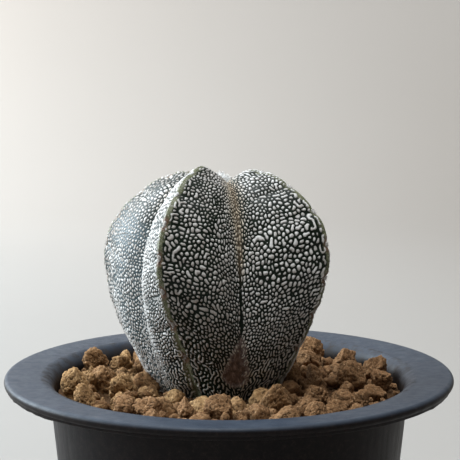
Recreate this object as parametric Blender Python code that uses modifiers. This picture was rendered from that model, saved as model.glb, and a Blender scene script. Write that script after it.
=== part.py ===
"""Potted bishop's cap cactus: one four-ribbed, fleck-covered cactus standing in tan granular
substrate, in a round dark pot with a broad flared rim.

Metres, +Z up. The origin is the middle of the pot's underside, and the front is towards -Y.
"""

import math
import random

import bmesh
import bpy
from mathutils import Euler, Matrix, Vector

MM = 0.001
CLEARANCE = 0.3 * MM  # between neighbouring pieces
MERGE = 0.00001

# Pot
POT_HEIGHT = 76.0 * MM
RIM_RADIUS = 45.0 * MM
ROLL_RADIUS = 0.9 * MM  # rounded outer edge of the rim
LIP_RADIUS = 44.3 * MM  # thin moulding lip under the rounded edge
LIP_THICKNESS = 0.7 * MM
LIP_WIDTH = 0.9 * MM
UNDERSIDE = 1.6 * MM  # of the rim, below its top
UNDERSIDE_FALL = 0.5 * MM  # from the lip to the wall
WALL_TOP_RADIUS = 36.4 * MM  # outside of the tapered wall, carried up to the rim's level
FOOT_RADIUS = 28.9 * MM
WALL = 1.1 * MM
FOOT_HEIGHT = 1.5 * MM
FOOT_WIDTH = 3.6 * MM
FOOT_EDGE = 0.8 * MM
FLOOR_CORNER = 1.2 * MM
FLOOR = 1.6 * MM
THROAT_RADIUS = 38.0 * MM  # where the rim's top turns down into the pot
THROAT_DEPTH = 0.5 * MM
THROAT_FOOT = 3.8 * MM  # below the rim, where that turn meets the inside of the wall
FILLET = 1.8 * MM  # under the rim, round the outside of the wall
DRAIN_RADIUS = 4.5 * MM
SIDE_DRAIN_RADIUS = 2.2 * MM
SIDE_DRAIN_CIRCLE = 15.0 * MM
SIDE_DRAINS = 6
TURNING_STEPS = 44

# Substrate
SOIL_DEPTH = 4.55 * MM  # nominal soil line, below the rim
FILL_DEPTH = 4.6 * MM  # packed fill under the loose grains, below the rim
BED_STEPS = 60  # points round the lumpy bed
BED_RINGS = 11
BED_INNER_RADIUS = 7.0 * MM
BED_LUMP = 1.7 * MM
BED_DIP = 0.5 * MM
BED_JITTER = 0.34  # of the spacing
GRAIN_SEED = 7
GRAIN_TRIES = 700
GRAIN_RADII = (2.1 * MM, 3.0 * MM)
GRAIN_SPACING = 1.02  # of the two radii, between neighbouring loose grains
GRAIN_RISE = (0.8 * MM, 1.9 * MM)  # of a grain's middle, above the bed
SUPPORT_RISE = 0.9 * MM  # each large lump rests on a smaller one
SUPPORT_SHARE = 0.8
# The largest lumps: X, Y, depth of the middle below the rim, and radius, in millimetres.
LARGE_GRAINS = (
    (-30.4, -8.0, 1.6, 3.0),
    (-28.2, 15.1, 1.5, 2.8),
    (-28.0, -2.0, 2.3, 2.3),
    (-24.7, -0.4, 1.9, 2.9),
    (-27.2, -16.8, 2.2, 2.6),
    (-20.5, -8.0, 2.0, 2.5),
    (-19.4, -21.4, 2.1, 2.5),
    (-22.9, 13.3, 2.3, 2.3),
    (-14.7, -22.9, 2.1, 2.4),
    (-7.7, -25.1, 2.2, 2.3),
    (-1.3, -24.3, 2.0, 3.1),
    (8.8, -18.8, 1.8, 2.9),
    (16.3, -27.2, 2.2, 2.5),
    (16.8, -12.9, 2.2, 2.2),
    (25.0, -19.2, 2.4, 2.6),
    (31.0, -1.3, 2.0, 2.4),
    (30.0, 8.0, 1.5, 2.7),
    (24.5, 1.4, 1.8, 3.2),
    (25.0, 18.2, 1.9, 2.8),
    (18.4, 24.6, 1.3, 2.9),
    (17.3, 16.6, 1.9, 2.7),
    (4.0, 27.0, 1.9, 2.8),
    (-12.0, 25.5, 1.9, 2.8),
)

# Cactus, in millimetres from the soil line at its own axis
PLANT_X = -1.7 * MM
PLANT_Y = 1.0 * MM
# Sections from the growing point to the root's tip:
# crest radius, crest height, groove radius, groove height.
STATIONS = (
    (0.0, 40.6, 0.0, 40.6),
    (3.0, 41.2, 2.6, 40.8),
    (6.2, 45.2, 5.2, 41.4),
    (12.0, 44.5, 8.6, 39.8),
    (17.8, 40.6, 11.6, 35.4),
    (22.2, 35.2, 13.6, 29.8),
    (23.9, 28.8, 14.6, 23.8),
    (22.9, 22.2, 14.8, 17.6),
    (20.0, 15.2, 14.2, 11.6),
    (16.2, 8.0, 12.8, 6.0),
    (12.0, 0.8, 10.6, 0.6),
    (8.0, -4.6, 7.6, -4.2),
    (4.4, -9.6, 4.2, -9.4),
    (0.0, -14.0, 0.0, -14.0),
)
SOIL_STATION = 10.6  # the first section that the soil hides
# Each rib: azimuth from the front in degrees, reach, rise, where its areoles start, and how much
# farther its crest stands out near the soil, in millimetres.
RIBS = (
    (-108.0, 1.055, 0.985, 0.85, 2.2),
    (-30.0, 0.98, 1.015, 0.87, -2.4),
    (60.0, 1.00, 1.000, 0.60, 0.7),
    (156.0, 0.98, 0.945, 0.30, 0.8),
)
# Outward shift of each rib's crest at the sections, which makes the ribs uneven.
CREST_SHIFTS = (
    (0.0, 0.0, 0.0, -0.45, -0.6, -0.3, 0.3, 0.5, 0.9, 0.2, 0.0, 0.0, 0.0, 0.0),
    (0.0, 0.6, 0.35, 0.1, 0.0, 0.0, 0.0, 0.0, 0.0, 0.0, 0.0, 0.0, 0.0, 0.0),
    (0.0, 0.0, 0.0, 0.15, 0.6, 1.0, 0.75, 0.3, 0.1, 0.0, 0.0, 0.0, 0.0, 0.0),
    (0.0, 0.0, 0.0, 0.0, 0.2, 0.3, 0.0, -0.3, 0.0, 0.2, 0.0, 0.0, 0.0, 0.0),
)
SPREAD_TOP = 30.0 * MM
SPREAD_FULL = 4.0 * MM
# Azimuth of the groove after each rib.
GROOVES = (-68.0, 15.0, 106.0, 202.0)
ROOT_DEPTH = 14.0 * MM
CHEEK = 0.13  # outward swell of a flank, as a share of its width
CHEEK_SHIFT = 1.5  # above 1, the swell lies nearer to the groove
CHEEK_FULLNESS = 0.9
CROWN_STATION = 1.5  # the areole notches start outside this
COLUMNS_PER_FLANK = 8
ROWS_ABOVE_SOIL = 41
ROWS_BELOW_SOIL = 5
FLECK_SEED = 11
FLECK_HEIGHT = 0.38 * MM
FLECK_FULL_WIDTH = 12.0 * MM  # on flanks narrower than this, the flecks are lower
FLECK_JITTER = 0.16  # of the spacing
NOTCH_DEPTH = 0.55 * MM  # dip of a crest at each areole
AREOLE_RADIUS = 0.78 * MM
HOLE_GAP = 1.0 * MM  # from the body's smooth skin to the substrate round it
HOLE_COLUMNS_PER_FLANK = 4
HOLE_ROWS = 22
CROWN_RADIUS = 1.6 * MM
CROWN_HEIGHT = 1.6 * MM
CROWN_SEAT = 0.9 * MM  # above the growing point
# Corky scar at the foot of the front groove, in millimetres from the soil line.
SCAR_GROOVE = 1
SCAR_TOP = 15.0
SCAR_FOOT = 3.6
SCAR_HALF_WIDTH = 2.7
SCAR_DEPTH = 0.3 * MM

SOIL_Z = POT_HEIGHT - SOIL_DEPTH
FILL_Z = POT_HEIGHT - FILL_DEPTH
PLANT_BASE = Vector((PLANT_X, PLANT_Y, SOIL_Z))
BODY_MIDDLE = Vector((0.0, 0.0, 22.0 * MM))


def clear_scene():
    for obj in list(bpy.data.objects):
        bpy.data.objects.remove(obj, do_unlink=True)


def make_collection(name):
    collection = bpy.data.collections.new(name)
    bpy.context.scene.collection.children.link(collection)
    return collection


def make_material(name, color, roughness):
    material = bpy.data.materials.new(name)
    material.use_nodes = True
    shader = material.node_tree.nodes["Principled BSDF"]
    shader.inputs["Base Color"].default_value = (*color, 1.0)
    shader.inputs["Roughness"].default_value = roughness
    shader.inputs["Metallic"].default_value = 0.0
    return material


def object_from_bmesh(name, bm, collection, material=None):
    mesh = bpy.data.meshes.new(name)
    bm.to_mesh(mesh)
    bm.free()
    if material:
        mesh.materials.append(material)
    obj = bpy.data.objects.new(name, mesh)
    collection.objects.link(obj)
    return obj


def apply_boolean(obj, operation, solver, other=None, others=None):
    """Applies a Boolean of obj with one object or a collection's objects, then removes them."""
    modifier = obj.modifiers.new(operation.title(), "BOOLEAN")
    modifier.operation = operation
    modifier.solver = solver
    if others:
        modifier.operand_type = "COLLECTION"
        modifier.collection = others
    else:
        modifier.object = other
    graph = bpy.context.evaluated_depsgraph_get()
    result = bpy.data.meshes.new_from_object(obj.evaluated_get(graph))
    obj.modifiers.clear()
    obj.data = result
    for used in list(others.objects) if others else [other]:
        bpy.data.objects.remove(used, do_unlink=True)


def arc(center_r, center_z, radius, start, end, count):
    """Points of an arc in the profile plane, as (radius, height)."""
    points = []
    for i in range(count):
        angle = math.radians(start + (end - start) * i / (count - 1))
        points.append((center_r + radius * math.cos(angle), center_z + radius * math.sin(angle)))
    return points


def wall_radius(z):
    """Outside radius of the tapered wall at a height."""
    return FOOT_RADIUS + (WALL_TOP_RADIUS - FOOT_RADIUS) * z / POT_HEIGHT


def pot_profile():
    """The pot's closed cross-section: down the outside, under the foot, and up the inside."""
    under_z = POT_HEIGHT - UNDERSIDE
    floor_z = FOOT_HEIGHT + FLOOR
    fillet_z = under_z - UNDERSIDE_FALL - FILLET
    throat_z = POT_HEIGHT - THROAT_FOOT
    inner_radius = wall_radius(throat_z) - WALL
    throat = []
    for angle in (0.0, 22.0, 44.0, 66.0, 90.0):
        along = math.radians(angle)
        throat.append((
            inner_radius + (THROAT_RADIUS - inner_radius) * (1.0 - math.cos(along)),
            throat_z + (THROAT_FOOT - THROAT_DEPTH) * math.sin(along),
        ))
    return [
        *arc(RIM_RADIUS - ROLL_RADIUS, POT_HEIGHT - ROLL_RADIUS, ROLL_RADIUS, 90, -60, 6),
        (LIP_RADIUS, under_z),
        (LIP_RADIUS, under_z - LIP_THICKNESS),
        (LIP_RADIUS - LIP_WIDTH, under_z - LIP_THICKNESS),
        (LIP_RADIUS - 2.0 * LIP_WIDTH, under_z),
        *arc(wall_radius(fillet_z) + FILLET, fillet_z, FILLET, 90, 180, 4),
        (wall_radius(FOOT_EDGE), FOOT_EDGE),
        (FOOT_RADIUS - FOOT_EDGE, 0.0),
        (FOOT_RADIUS - FOOT_WIDTH, 0.0),
        (FOOT_RADIUS - FOOT_WIDTH - FOOT_EDGE / 2.0, FOOT_HEIGHT),
        (DRAIN_RADIUS, FOOT_HEIGHT),
        (DRAIN_RADIUS, floor_z),
        (wall_radius(floor_z) - WALL - FLOOR_CORNER, floor_z),
        (wall_radius(floor_z + FLOOR_CORNER) - WALL, floor_z + FLOOR_CORNER),
        *throat,
    ]


def build_pot(collection, cutters, material):
    profile = pot_profile()
    mesh = bpy.data.meshes.new("pot")
    edges = [(i, (i + 1) % len(profile)) for i in range(len(profile))]
    mesh.from_pydata([(r, 0.0, z) for r, z in profile], edges, [])
    mesh.materials.append(material)
    pot = bpy.data.objects.new("pot", mesh)
    collection.objects.link(pot)
    turn = pot.modifiers.new("Turn", "SCREW")
    turn.axis = "Z"
    turn.steps = TURNING_STEPS
    turn.render_steps = TURNING_STEPS
    turn.use_merge_vertices = True
    turn.merge_threshold = MERGE
    turn.use_smooth_shade = True

    for i in range(SIDE_DRAINS):
        angle = 2.0 * math.pi * (i + 0.5) / SIDE_DRAINS
        place = Matrix.Translation((
            SIDE_DRAIN_CIRCLE * math.cos(angle),
            SIDE_DRAIN_CIRCLE * math.sin(angle),
            FOOT_HEIGHT + FLOOR / 2.0,
        ))
        bm = bmesh.new()
        bmesh.ops.create_cone(
            bm, cap_ends=True, segments=12, radius1=SIDE_DRAIN_RADIUS, radius2=SIDE_DRAIN_RADIUS,
            depth=3.0 * FLOOR, matrix=place,
        )
        cutter = object_from_bmesh(f"drain_cutter_{i + 1}", bm, cutters)
        cutter.hide_render = True
        cutter.display_type = "WIRE"
    drain = pot.modifiers.new("Drains", "BOOLEAN")
    drain.operation = "DIFFERENCE"
    drain.operand_type = "COLLECTION"
    drain.collection = cutters
    drain.solver = "EXACT"
    return pot


def smooth_value(position, column):
    """A smooth curve (Catmull-Rom) through one column of STATIONS, in metres."""
    last = len(STATIONS) - 1
    i = min(int(position), last - 1)
    t = position - i
    before = STATIONS[max(i - 1, 0)][column]
    start, end = STATIONS[i][column], STATIONS[i + 1][column]
    after = STATIONS[min(i + 2, last)][column]
    value = 0.5 * (
        2.0 * start
        + (end - before) * t
        + (2.0 * before - 5.0 * start + 4.0 * end - after) * t * t
        + (3.0 * start - before - 3.0 * end + after) * t * t * t
    )
    return value * MM


def at_azimuth(radius, azimuth, z):
    angle = math.radians(azimuth)
    return Vector((radius * math.sin(angle), -radius * math.cos(angle), z))


def crest_point(rib, position):
    """Point on a rib's crest. The crest dips at each areole."""
    azimuth, reach, rise, first_areole, spread = RIBS[rib]
    z = smooth_value(position, 1)
    share = max(0.0, min(1.0, (SPREAD_TOP - z) / (SPREAD_TOP - SPREAD_FULL)))
    under = max(0.0, min(1.0, 1.0 + z / ROOT_DEPTH))
    radius = smooth_value(position, 0) * reach + spread * MM * share * share * (3.0 - 2.0 * share) * under
    between = abs(math.sin(math.pi * (position - first_areole)))
    dip = NOTCH_DEPTH * (1.0 - between) ** 2 if CROWN_STATION < position < SOIL_STATION else 0.0
    point = at_azimuth(radius, azimuth, z * rise if z > 0.0 else z)
    section = min(int(position), len(STATIONS) - 2)
    shift = CREST_SHIFTS[rib][section] * (section + 1 - position) + CREST_SHIFTS[rib][section + 1] * (position - section)
    return point + (point - BODY_MIDDLE).normalized() * (shift * MM - dip)


def groove_point(groove, position):
    return at_azimuth(smooth_value(position, 2), GROOVES[groove % len(GROOVES)], smooth_value(position, 3))


def flank_point(rib, side, across, position):
    """Point of the smooth body: across runs from 0 on the crest to 1 in the groove on that side."""
    crest = crest_point(rib, position)
    groove = groove_point(rib if side > 0 else rib - 1, position)
    width = groove - crest
    ahead = min(position + 0.1, len(STATIONS) - 1.0)
    behind = max(position - 0.1, 0.0)
    index = rib if side > 0 else rib - 1
    down = crest_point(rib, ahead) + groove_point(index, ahead)
    down -= crest_point(rib, behind) + groove_point(index, behind)
    outward = width.cross(down).normalized()
    middle = (crest + groove) / 2.0
    if outward.dot(middle - BODY_MIDDLE) < 0.0:
        outward = -outward
    if not 0.0 < across < 1.0:
        return crest + width * across
    swell = CHEEK * width.length * math.sin(math.pi * across ** CHEEK_SHIFT) ** CHEEK_FULLNESS
    return crest + width * across + outward * swell


def row_position(row):
    """Station that a row of the body's mesh lies at."""
    if row <= ROWS_ABOVE_SOIL:
        return SOIL_STATION * row / ROWS_ABOVE_SOIL
    below = (row - ROWS_ABOVE_SOIL) / ROWS_BELOW_SOIL
    return SOIL_STATION + (len(STATIONS) - 1.0 - SOIL_STATION) * below


def in_scar(rib, side, across, position):
    """True on the bare corky patch at the foot of the front groove."""
    groove = rib if side > 0 else (rib - 1) % len(RIBS)
    if groove != SCAR_GROOVE:
        return False
    point = flank_point(rib, side, across, position)
    from_groove = (point - groove_point(groove, position)).length / MM
    height = point.z / MM
    share = (SCAR_TOP - height) / (SCAR_TOP - SCAR_FOOT)
    return 0.0 < share < 1.0 and from_groove < SCAR_HALF_WIDTH * share ** 0.8


def body_mesh(columns_per_flank, rows, position_of_row, swell=0.0):
    """A sphere's net of points, moved onto the ribbed body, with each vertex's place on it."""
    segments = columns_per_flank * 2 * len(RIBS)
    bm = bmesh.new()
    bmesh.ops.create_uvsphere(bm, u_segments=segments, v_segments=rows, radius=1.0)
    places = {}
    for vertex in bm.verts:
        row = round(math.acos(max(-1.0, min(1.0, vertex.co.z))) / math.pi * rows)
        column = round(math.atan2(vertex.co.y, vertex.co.x) / (2.0 * math.pi) * segments) % segments
        rib, step = divmod(column + columns_per_flank, 2 * columns_per_flank)
        step -= columns_per_flank
        places[vertex] = (rib % len(RIBS), step, row)
    for vertex, (rib, step, row) in places.items():
        side = 1 if step >= 0 else -1
        vertex.co = flank_point(rib, side, abs(step) / columns_per_flank, position_of_row(row))
    bmesh.ops.recalc_face_normals(bm, faces=bm.faces)
    bm.normal_update()
    if swell:
        moved = {vertex: vertex.co + vertex.normal * swell for vertex in bm.verts}
        for vertex, co in moved.items():
            vertex.co = co
    return bm, places


def raise_flecks(bm, places, rng):
    """Raises every second point of the net into a fleck, and bares the crests, grooves, crown and scar."""
    rows = ROWS_ABOVE_SOIL + ROWS_BELOW_SOIL
    raised = set()
    lifts = {}
    for vertex, (rib, step, row) in places.items():
        side = 1 if step >= 0 else -1
        inner = 0 < abs(step) < COLUMNS_PER_FLANK
        covered = 3 < row < ROWS_ABOVE_SOIL
        jitter_across = rng.uniform(-FLECK_JITTER, FLECK_JITTER)
        jitter_down = rng.uniform(-FLECK_JITTER, FLECK_JITTER)
        height = FLECK_HEIGHT * rng.uniform(0.75, 1.15)
        if not (inner and covered):
            continue
        flank_width = (crest_point(rib, row_position(row)) - groove_point(rib, row_position(row))).length
        height *= min(1.0, flank_width / FLECK_FULL_WIDTH)
        across = (abs(step) + jitter_across) / COLUMNS_PER_FLANK
        position = row_position(row) + jitter_down * SOIL_STATION / rows
        vertex.co = flank_point(rib, side, across, position)
        if in_scar(rib, side, across, position):
            lifts[vertex] = -SCAR_DEPTH
        elif (step + row) % 2 == 0:
            raised.add(vertex)
            lifts[vertex] = height
    bm.normal_update()
    moved = {vertex: vertex.co + vertex.normal * lift for vertex, lift in lifts.items()}
    for vertex, co in moved.items():
        vertex.co = co
    for face in list(bm.faces):
        low = [vertex for vertex in face.verts if vertex not in raised]
        if len(face.verts) == 4 and len(low) == 2:
            bmesh.utils.face_split(face, low[0], low[1])


def build_cactus(collection, areoles, material):
    """The ribbed body with its fleck relief and root, joined with the areoles along its crests."""
    bm, places = body_mesh(COLUMNS_PER_FLANK, ROWS_ABOVE_SOIL + ROWS_BELOW_SOIL, row_position)
    raise_flecks(bm, places, random.Random(FLECK_SEED))
    bmesh.ops.translate(bm, verts=bm.verts, vec=PLANT_BASE)
    cactus = object_from_bmesh("cactus_body", bm, collection, material)
    for rib, (azimuth, _, _, first_areole, _) in enumerate(RIBS):
        count = int(SOIL_STATION - 1.2 - first_areole)
        for i in range(1, count + 1):
            position = first_areole + i
            size = AREOLE_RADIUS * (0.8 if position < 3.0 else 1.0)
            bm = bmesh.new()
            bmesh.ops.create_icosphere(bm, subdivisions=1, radius=size)
            bmesh.ops.rotate(bm, verts=bm.verts, matrix=Matrix.Rotation(math.radians(azimuth), 3, "Z"))
            bmesh.ops.translate(bm, verts=bm.verts, vec=crest_point(rib, position) + PLANT_BASE)
            object_from_bmesh(f"areole_{rib}_{i}", bm, areoles)
    apply_boolean(cactus, "UNION", "MANIFOLD", others=areoles)
    return cactus


def build_crown(collection, material):
    """Tuft of wool seated in the dimple at the growing point."""
    bm = bmesh.new()
    bmesh.ops.create_uvsphere(bm, u_segments=14, v_segments=8, radius=1.0)
    rng = random.Random(FLECK_SEED)
    for vertex in bm.verts:
        uneven = 1.0 if abs(vertex.co.z) > 0.99 else rng.uniform(0.9, 1.08)
        height = CROWN_HEIGHT if vertex.co.z > 0.0 else 0.2 * CROWN_HEIGHT
        vertex.co = Vector((
            vertex.co.x * CROWN_RADIUS * uneven,
            vertex.co.y * CROWN_RADIUS * uneven,
            vertex.co.z * height,
        ))
    lowest = min(vertex.co.z for vertex in bm.verts)
    seat = STATIONS[0][1] * MM + CROWN_SEAT
    bmesh.ops.translate(bm, verts=bm.verts, vec=PLANT_BASE + Vector((0.0, 0.0, seat - lowest)))
    return object_from_bmesh("crown_wool", bm, collection, material)


def grain_list():
    """Every loose grain as (centre, radius): large lumps, their supports and smaller ones between."""
    rng = random.Random(GRAIN_SEED)
    wall = wall_radius(FILL_Z) - WALL - CLEARANCE - 0.15 * MM
    grains = []
    for x, y, depth, radius in LARGE_GRAINS:
        grains.append((Vector((x * MM, y * MM, POT_HEIGHT - depth * MM)), radius * MM))
    supports = []
    for center, radius in grains:
        supports.append((Vector((center.x, center.y, FILL_Z + SUPPORT_RISE)), SUPPORT_SHARE * radius))
    reach = smooth_value(SOIL_STATION - 1.0, 0)
    for _ in range(GRAIN_TRIES):
        radius = rng.uniform(*GRAIN_RADII)
        distance = (wall - radius) * math.sqrt(rng.random())
        angle = rng.uniform(0.0, 2.0 * math.pi)
        x, y = distance * math.cos(angle), distance * math.sin(angle)
        z = FILL_Z + rng.uniform(*GRAIN_RISE)
        clear = all(
            math.hypot(x - other.x, y - other.y) > GRAIN_SPACING * (radius + size) for other, size in grains
        )
        if clear and math.hypot(x - PLANT_X, y - PLANT_Y) > reach + 0.45 * radius:
            grains.append((Vector((x, y, z)), radius))
    return grains + supports


def grain_mesh(center, radius, rng):
    """An angular lump: an icosahedron with uneven corners, turned at random."""
    bm = bmesh.new()
    bmesh.ops.create_icosphere(bm, subdivisions=1, radius=radius)
    squash = Vector((rng.uniform(0.9, 1.12), rng.uniform(0.82, 1.0), rng.uniform(0.78, 0.94)))
    turn = Euler([rng.uniform(0.0, 2.0 * math.pi) for _ in range(3)]).to_matrix()
    for vertex in bm.verts:
        uneven = vertex.co * rng.uniform(0.86, 1.06)
        vertex.co = center + turn @ Vector((a * b for a, b in zip(uneven, squash)))
    return bm


def bed_point(ring, step, rng):
    """Point of the packed bed: rings over its lumpy top, then down the side and under it."""
    floor_z = FOOT_HEIGHT + FLOOR + CLEARANCE
    edge = wall_radius(FILL_Z) - WALL - CLEARANCE - 0.1 * MM
    angle = 2.0 * math.pi * step / BED_STEPS
    radius, z = edge, FILL_Z
    ring_width = (edge - BED_INNER_RADIUS) / (BED_RINGS - 1)
    if ring == 0:
        radius = 0.0
    elif ring <= BED_RINGS:
        lump = (ring + step) % 2 == 0
        z += BED_LUMP * rng.uniform(0.5, 1.2) if lump else -BED_DIP * rng.uniform(0.0, 1.0)
        if ring < BED_RINGS:
            radius = BED_INNER_RADIUS + ring_width * (ring - 1 + rng.uniform(-BED_JITTER, BED_JITTER))
            angle += 2.0 * math.pi / BED_STEPS * rng.uniform(-BED_JITTER, BED_JITTER)
    elif ring == BED_RINGS + 1:
        radius, z = wall_radius(floor_z) - WALL - FLOOR_CORNER - CLEARANCE, floor_z
    elif ring > BED_RINGS + 1:
        radius, z = 0.0, floor_z
    return Vector((radius * math.cos(angle), radius * math.sin(angle), z))


def build_substrate(collection, lumps, material):
    """Packed bed with loose grains fused into its top, and a hole for the plant's foot and root."""
    rng = random.Random(GRAIN_SEED + 1)
    bm = bmesh.new()
    rows = BED_RINGS + 2
    bmesh.ops.create_uvsphere(bm, u_segments=BED_STEPS, v_segments=rows, radius=1.0)
    for vertex in bm.verts:
        ring = round(math.acos(max(-1.0, min(1.0, vertex.co.z))) / math.pi * rows)
        step = round(math.atan2(vertex.co.y, vertex.co.x) / (2.0 * math.pi) * BED_STEPS) % BED_STEPS
        vertex.co = bed_point(ring, step, rng)
    bmesh.ops.triangulate(bm, faces=bm.faces)
    bmesh.ops.recalc_face_normals(bm, faces=bm.faces)
    substrate = object_from_bmesh("substrate", bm, collection, material)
    for i, (center, radius) in enumerate(grain_list()):
        object_from_bmesh(f"grain_{i}", grain_mesh(center, radius, rng), lumps)
    apply_boolean(substrate, "UNION", "MANIFOLD", others=lumps)

    def coarse_row(row):
        return (len(STATIONS) - 1.0) * row / HOLE_ROWS

    bm, _ = body_mesh(HOLE_COLUMNS_PER_FLANK, HOLE_ROWS, coarse_row, swell=HOLE_GAP)
    bmesh.ops.translate(bm, verts=bm.verts, vec=PLANT_BASE)
    hole = object_from_bmesh("plant_hole", bm, lumps)
    apply_boolean(substrate, "DIFFERENCE", "MANIFOLD", other=hole)
    return substrate


def main():
    clear_scene()
    parts = make_collection("potted_bishops_cap_cactus")
    cutters = make_collection("cutters")
    lumps = make_collection("lumps")
    pot_material = make_material("pot_plastic", (0.045, 0.045, 0.052), 0.5)
    soil_material = make_material("tan_grain", (0.42, 0.26, 0.14), 0.95)
    cactus_material = make_material("flecked_skin", (0.34, 0.37, 0.32), 0.85)
    wool_material = make_material("crown_wool", (0.62, 0.55, 0.42), 1.0)
    build_pot(parts, cutters, pot_material)
    build_substrate(parts, lumps, soil_material)
    build_cactus(parts, lumps, cactus_material)
    build_crown(parts, wool_material)
    bpy.data.collections.remove(lumps)


main()
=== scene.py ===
"""Potted bishop's cap cactus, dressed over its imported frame.

Lengths in the shape functions are in millimetres, from the soil line at the plant's own axis for
the plant, and from the middle of the pot's underside for the pot and the substrate.
"""

import math
import random

import bmesh
import bpy
import numpy as np
from mathutils import Euler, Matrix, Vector, noise


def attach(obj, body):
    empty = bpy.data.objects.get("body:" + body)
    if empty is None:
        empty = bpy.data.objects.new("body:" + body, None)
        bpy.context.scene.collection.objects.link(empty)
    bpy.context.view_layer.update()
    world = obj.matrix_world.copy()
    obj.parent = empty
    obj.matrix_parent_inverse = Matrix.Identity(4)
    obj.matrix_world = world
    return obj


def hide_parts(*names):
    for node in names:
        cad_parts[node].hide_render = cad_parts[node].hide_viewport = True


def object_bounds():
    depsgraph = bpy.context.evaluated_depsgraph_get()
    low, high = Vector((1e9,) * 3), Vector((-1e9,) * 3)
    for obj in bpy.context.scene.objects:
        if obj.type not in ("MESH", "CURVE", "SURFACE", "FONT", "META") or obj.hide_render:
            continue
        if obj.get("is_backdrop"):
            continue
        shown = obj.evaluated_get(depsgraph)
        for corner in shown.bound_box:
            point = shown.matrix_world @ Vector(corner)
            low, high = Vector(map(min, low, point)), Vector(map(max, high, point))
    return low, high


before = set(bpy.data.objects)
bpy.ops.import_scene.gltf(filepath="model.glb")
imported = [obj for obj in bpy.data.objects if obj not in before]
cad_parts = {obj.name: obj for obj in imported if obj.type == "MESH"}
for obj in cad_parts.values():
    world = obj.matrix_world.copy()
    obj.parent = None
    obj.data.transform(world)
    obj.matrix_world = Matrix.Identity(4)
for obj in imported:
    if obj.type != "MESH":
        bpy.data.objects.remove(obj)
CAD_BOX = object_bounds()
MM = 0.001

# Sizes repeated from the part: pot, substrate, plant
POT_HEIGHT = 76.0
RIM_RADIUS = 45.0
ROLL_RADIUS = 0.9
LIP_RADIUS = 44.3
LIP_THICKNESS = 0.7
LIP_WIDTH = 0.9
UNDERSIDE = 1.6
UNDERSIDE_FALL = 0.5
WALL_TOP_RADIUS = 36.4
FOOT_RADIUS = 28.9
WALL = 1.1
FOOT_HEIGHT = 1.5
FOOT_WIDTH = 3.6
FOOT_EDGE = 0.8
FLOOR_CORNER = 1.2
FLOOR = 1.6
THROAT_RADIUS = 38.0
THROAT_DEPTH = 0.5
THROAT_FOOT = 3.8
FILLET = 1.8
DRAIN_RADIUS = 4.5
SIDE_DRAIN_RADIUS = 2.2
SIDE_DRAIN_CIRCLE = 15.0
SIDE_DRAINS = 6
CLEARANCE = 0.3

SOIL_DEPTH = 4.55
FILL_DEPTH = 4.6
GRAIN_SEED = 7
GRAIN_TRIES = 700
GRAIN_RADII = (2.1, 3.0)
GRAIN_SPACING = 1.02
GRAIN_RISE = (0.8, 1.9)
SUPPORT_RISE = 0.9
SUPPORT_SHARE = 0.8
LARGE_GRAINS = (
    (-30.4, -8.0, 1.6, 3.0), (-28.2, 15.1, 1.5, 2.8), (-28.0, -2.0, 2.3, 2.3), (-24.7, -0.4, 1.9, 2.9),
    (-27.2, -16.8, 2.2, 2.6), (-20.5, -8.0, 2.0, 2.5), (-19.4, -21.4, 2.1, 2.5), (-22.9, 13.3, 2.3, 2.3),
    (-14.7, -22.9, 2.1, 2.4), (-7.7, -25.1, 2.2, 2.3), (-1.3, -24.3, 2.0, 3.1), (8.8, -18.8, 1.8, 2.9),
    (16.3, -27.2, 2.2, 2.5), (16.8, -12.9, 2.2, 2.2), (25.0, -19.2, 2.4, 2.6), (31.0, -1.3, 2.0, 2.4),
    (30.0, 8.0, 1.5, 2.7), (24.5, 1.4, 1.8, 3.2), (25.0, 18.2, 1.9, 2.8), (18.4, 24.6, 1.3, 2.9),
    (17.3, 16.6, 1.9, 2.7), (4.0, 27.0, 1.9, 2.8), (-12.0, 25.5, 1.9, 2.8),
)

PLANT_X = -1.7
PLANT_Y = 1.0
# Sections from the growing point to the root's tip:
# crest radius, crest height, groove radius, groove height.
STATIONS = np.array((
    (0.0, 40.6, 0.0, 40.6),
    (3.0, 41.2, 2.6, 40.8),
    (6.2, 45.2, 5.2, 41.4),
    (12.0, 44.5, 8.6, 39.8),
    (17.8, 40.6, 11.6, 35.4),
    (22.2, 35.2, 13.6, 29.8),
    (23.9, 28.8, 14.6, 23.8),
    (22.9, 22.2, 14.8, 17.6),
    (20.0, 15.2, 14.2, 11.6),
    (16.2, 8.0, 12.8, 6.0),
    (12.0, 0.8, 10.6, 0.6),
    (8.0, -4.6, 7.6, -4.2),
    (4.4, -9.6, 4.2, -9.4),
    (0.0, -14.0, 0.0, -14.0),
))
SOIL_STATION = 10.6  # the first section that the soil hides
# Each rib: azimuth from the front in degrees, reach, rise, where its areoles start, and how much
# farther its crest stands out near the soil.
RIBS = (
    (-108.0, 1.055, 0.985, 0.85, 2.2),
    (-30.0, 0.98, 1.015, 0.87, -2.4),
    (60.0, 1.00, 1.000, 0.60, 0.7),
    (156.0, 0.98, 0.945, 0.30, 0.8),
)
LEFT_RIB, FRONT_RIB, RIGHT_RIB = range(3)
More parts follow.
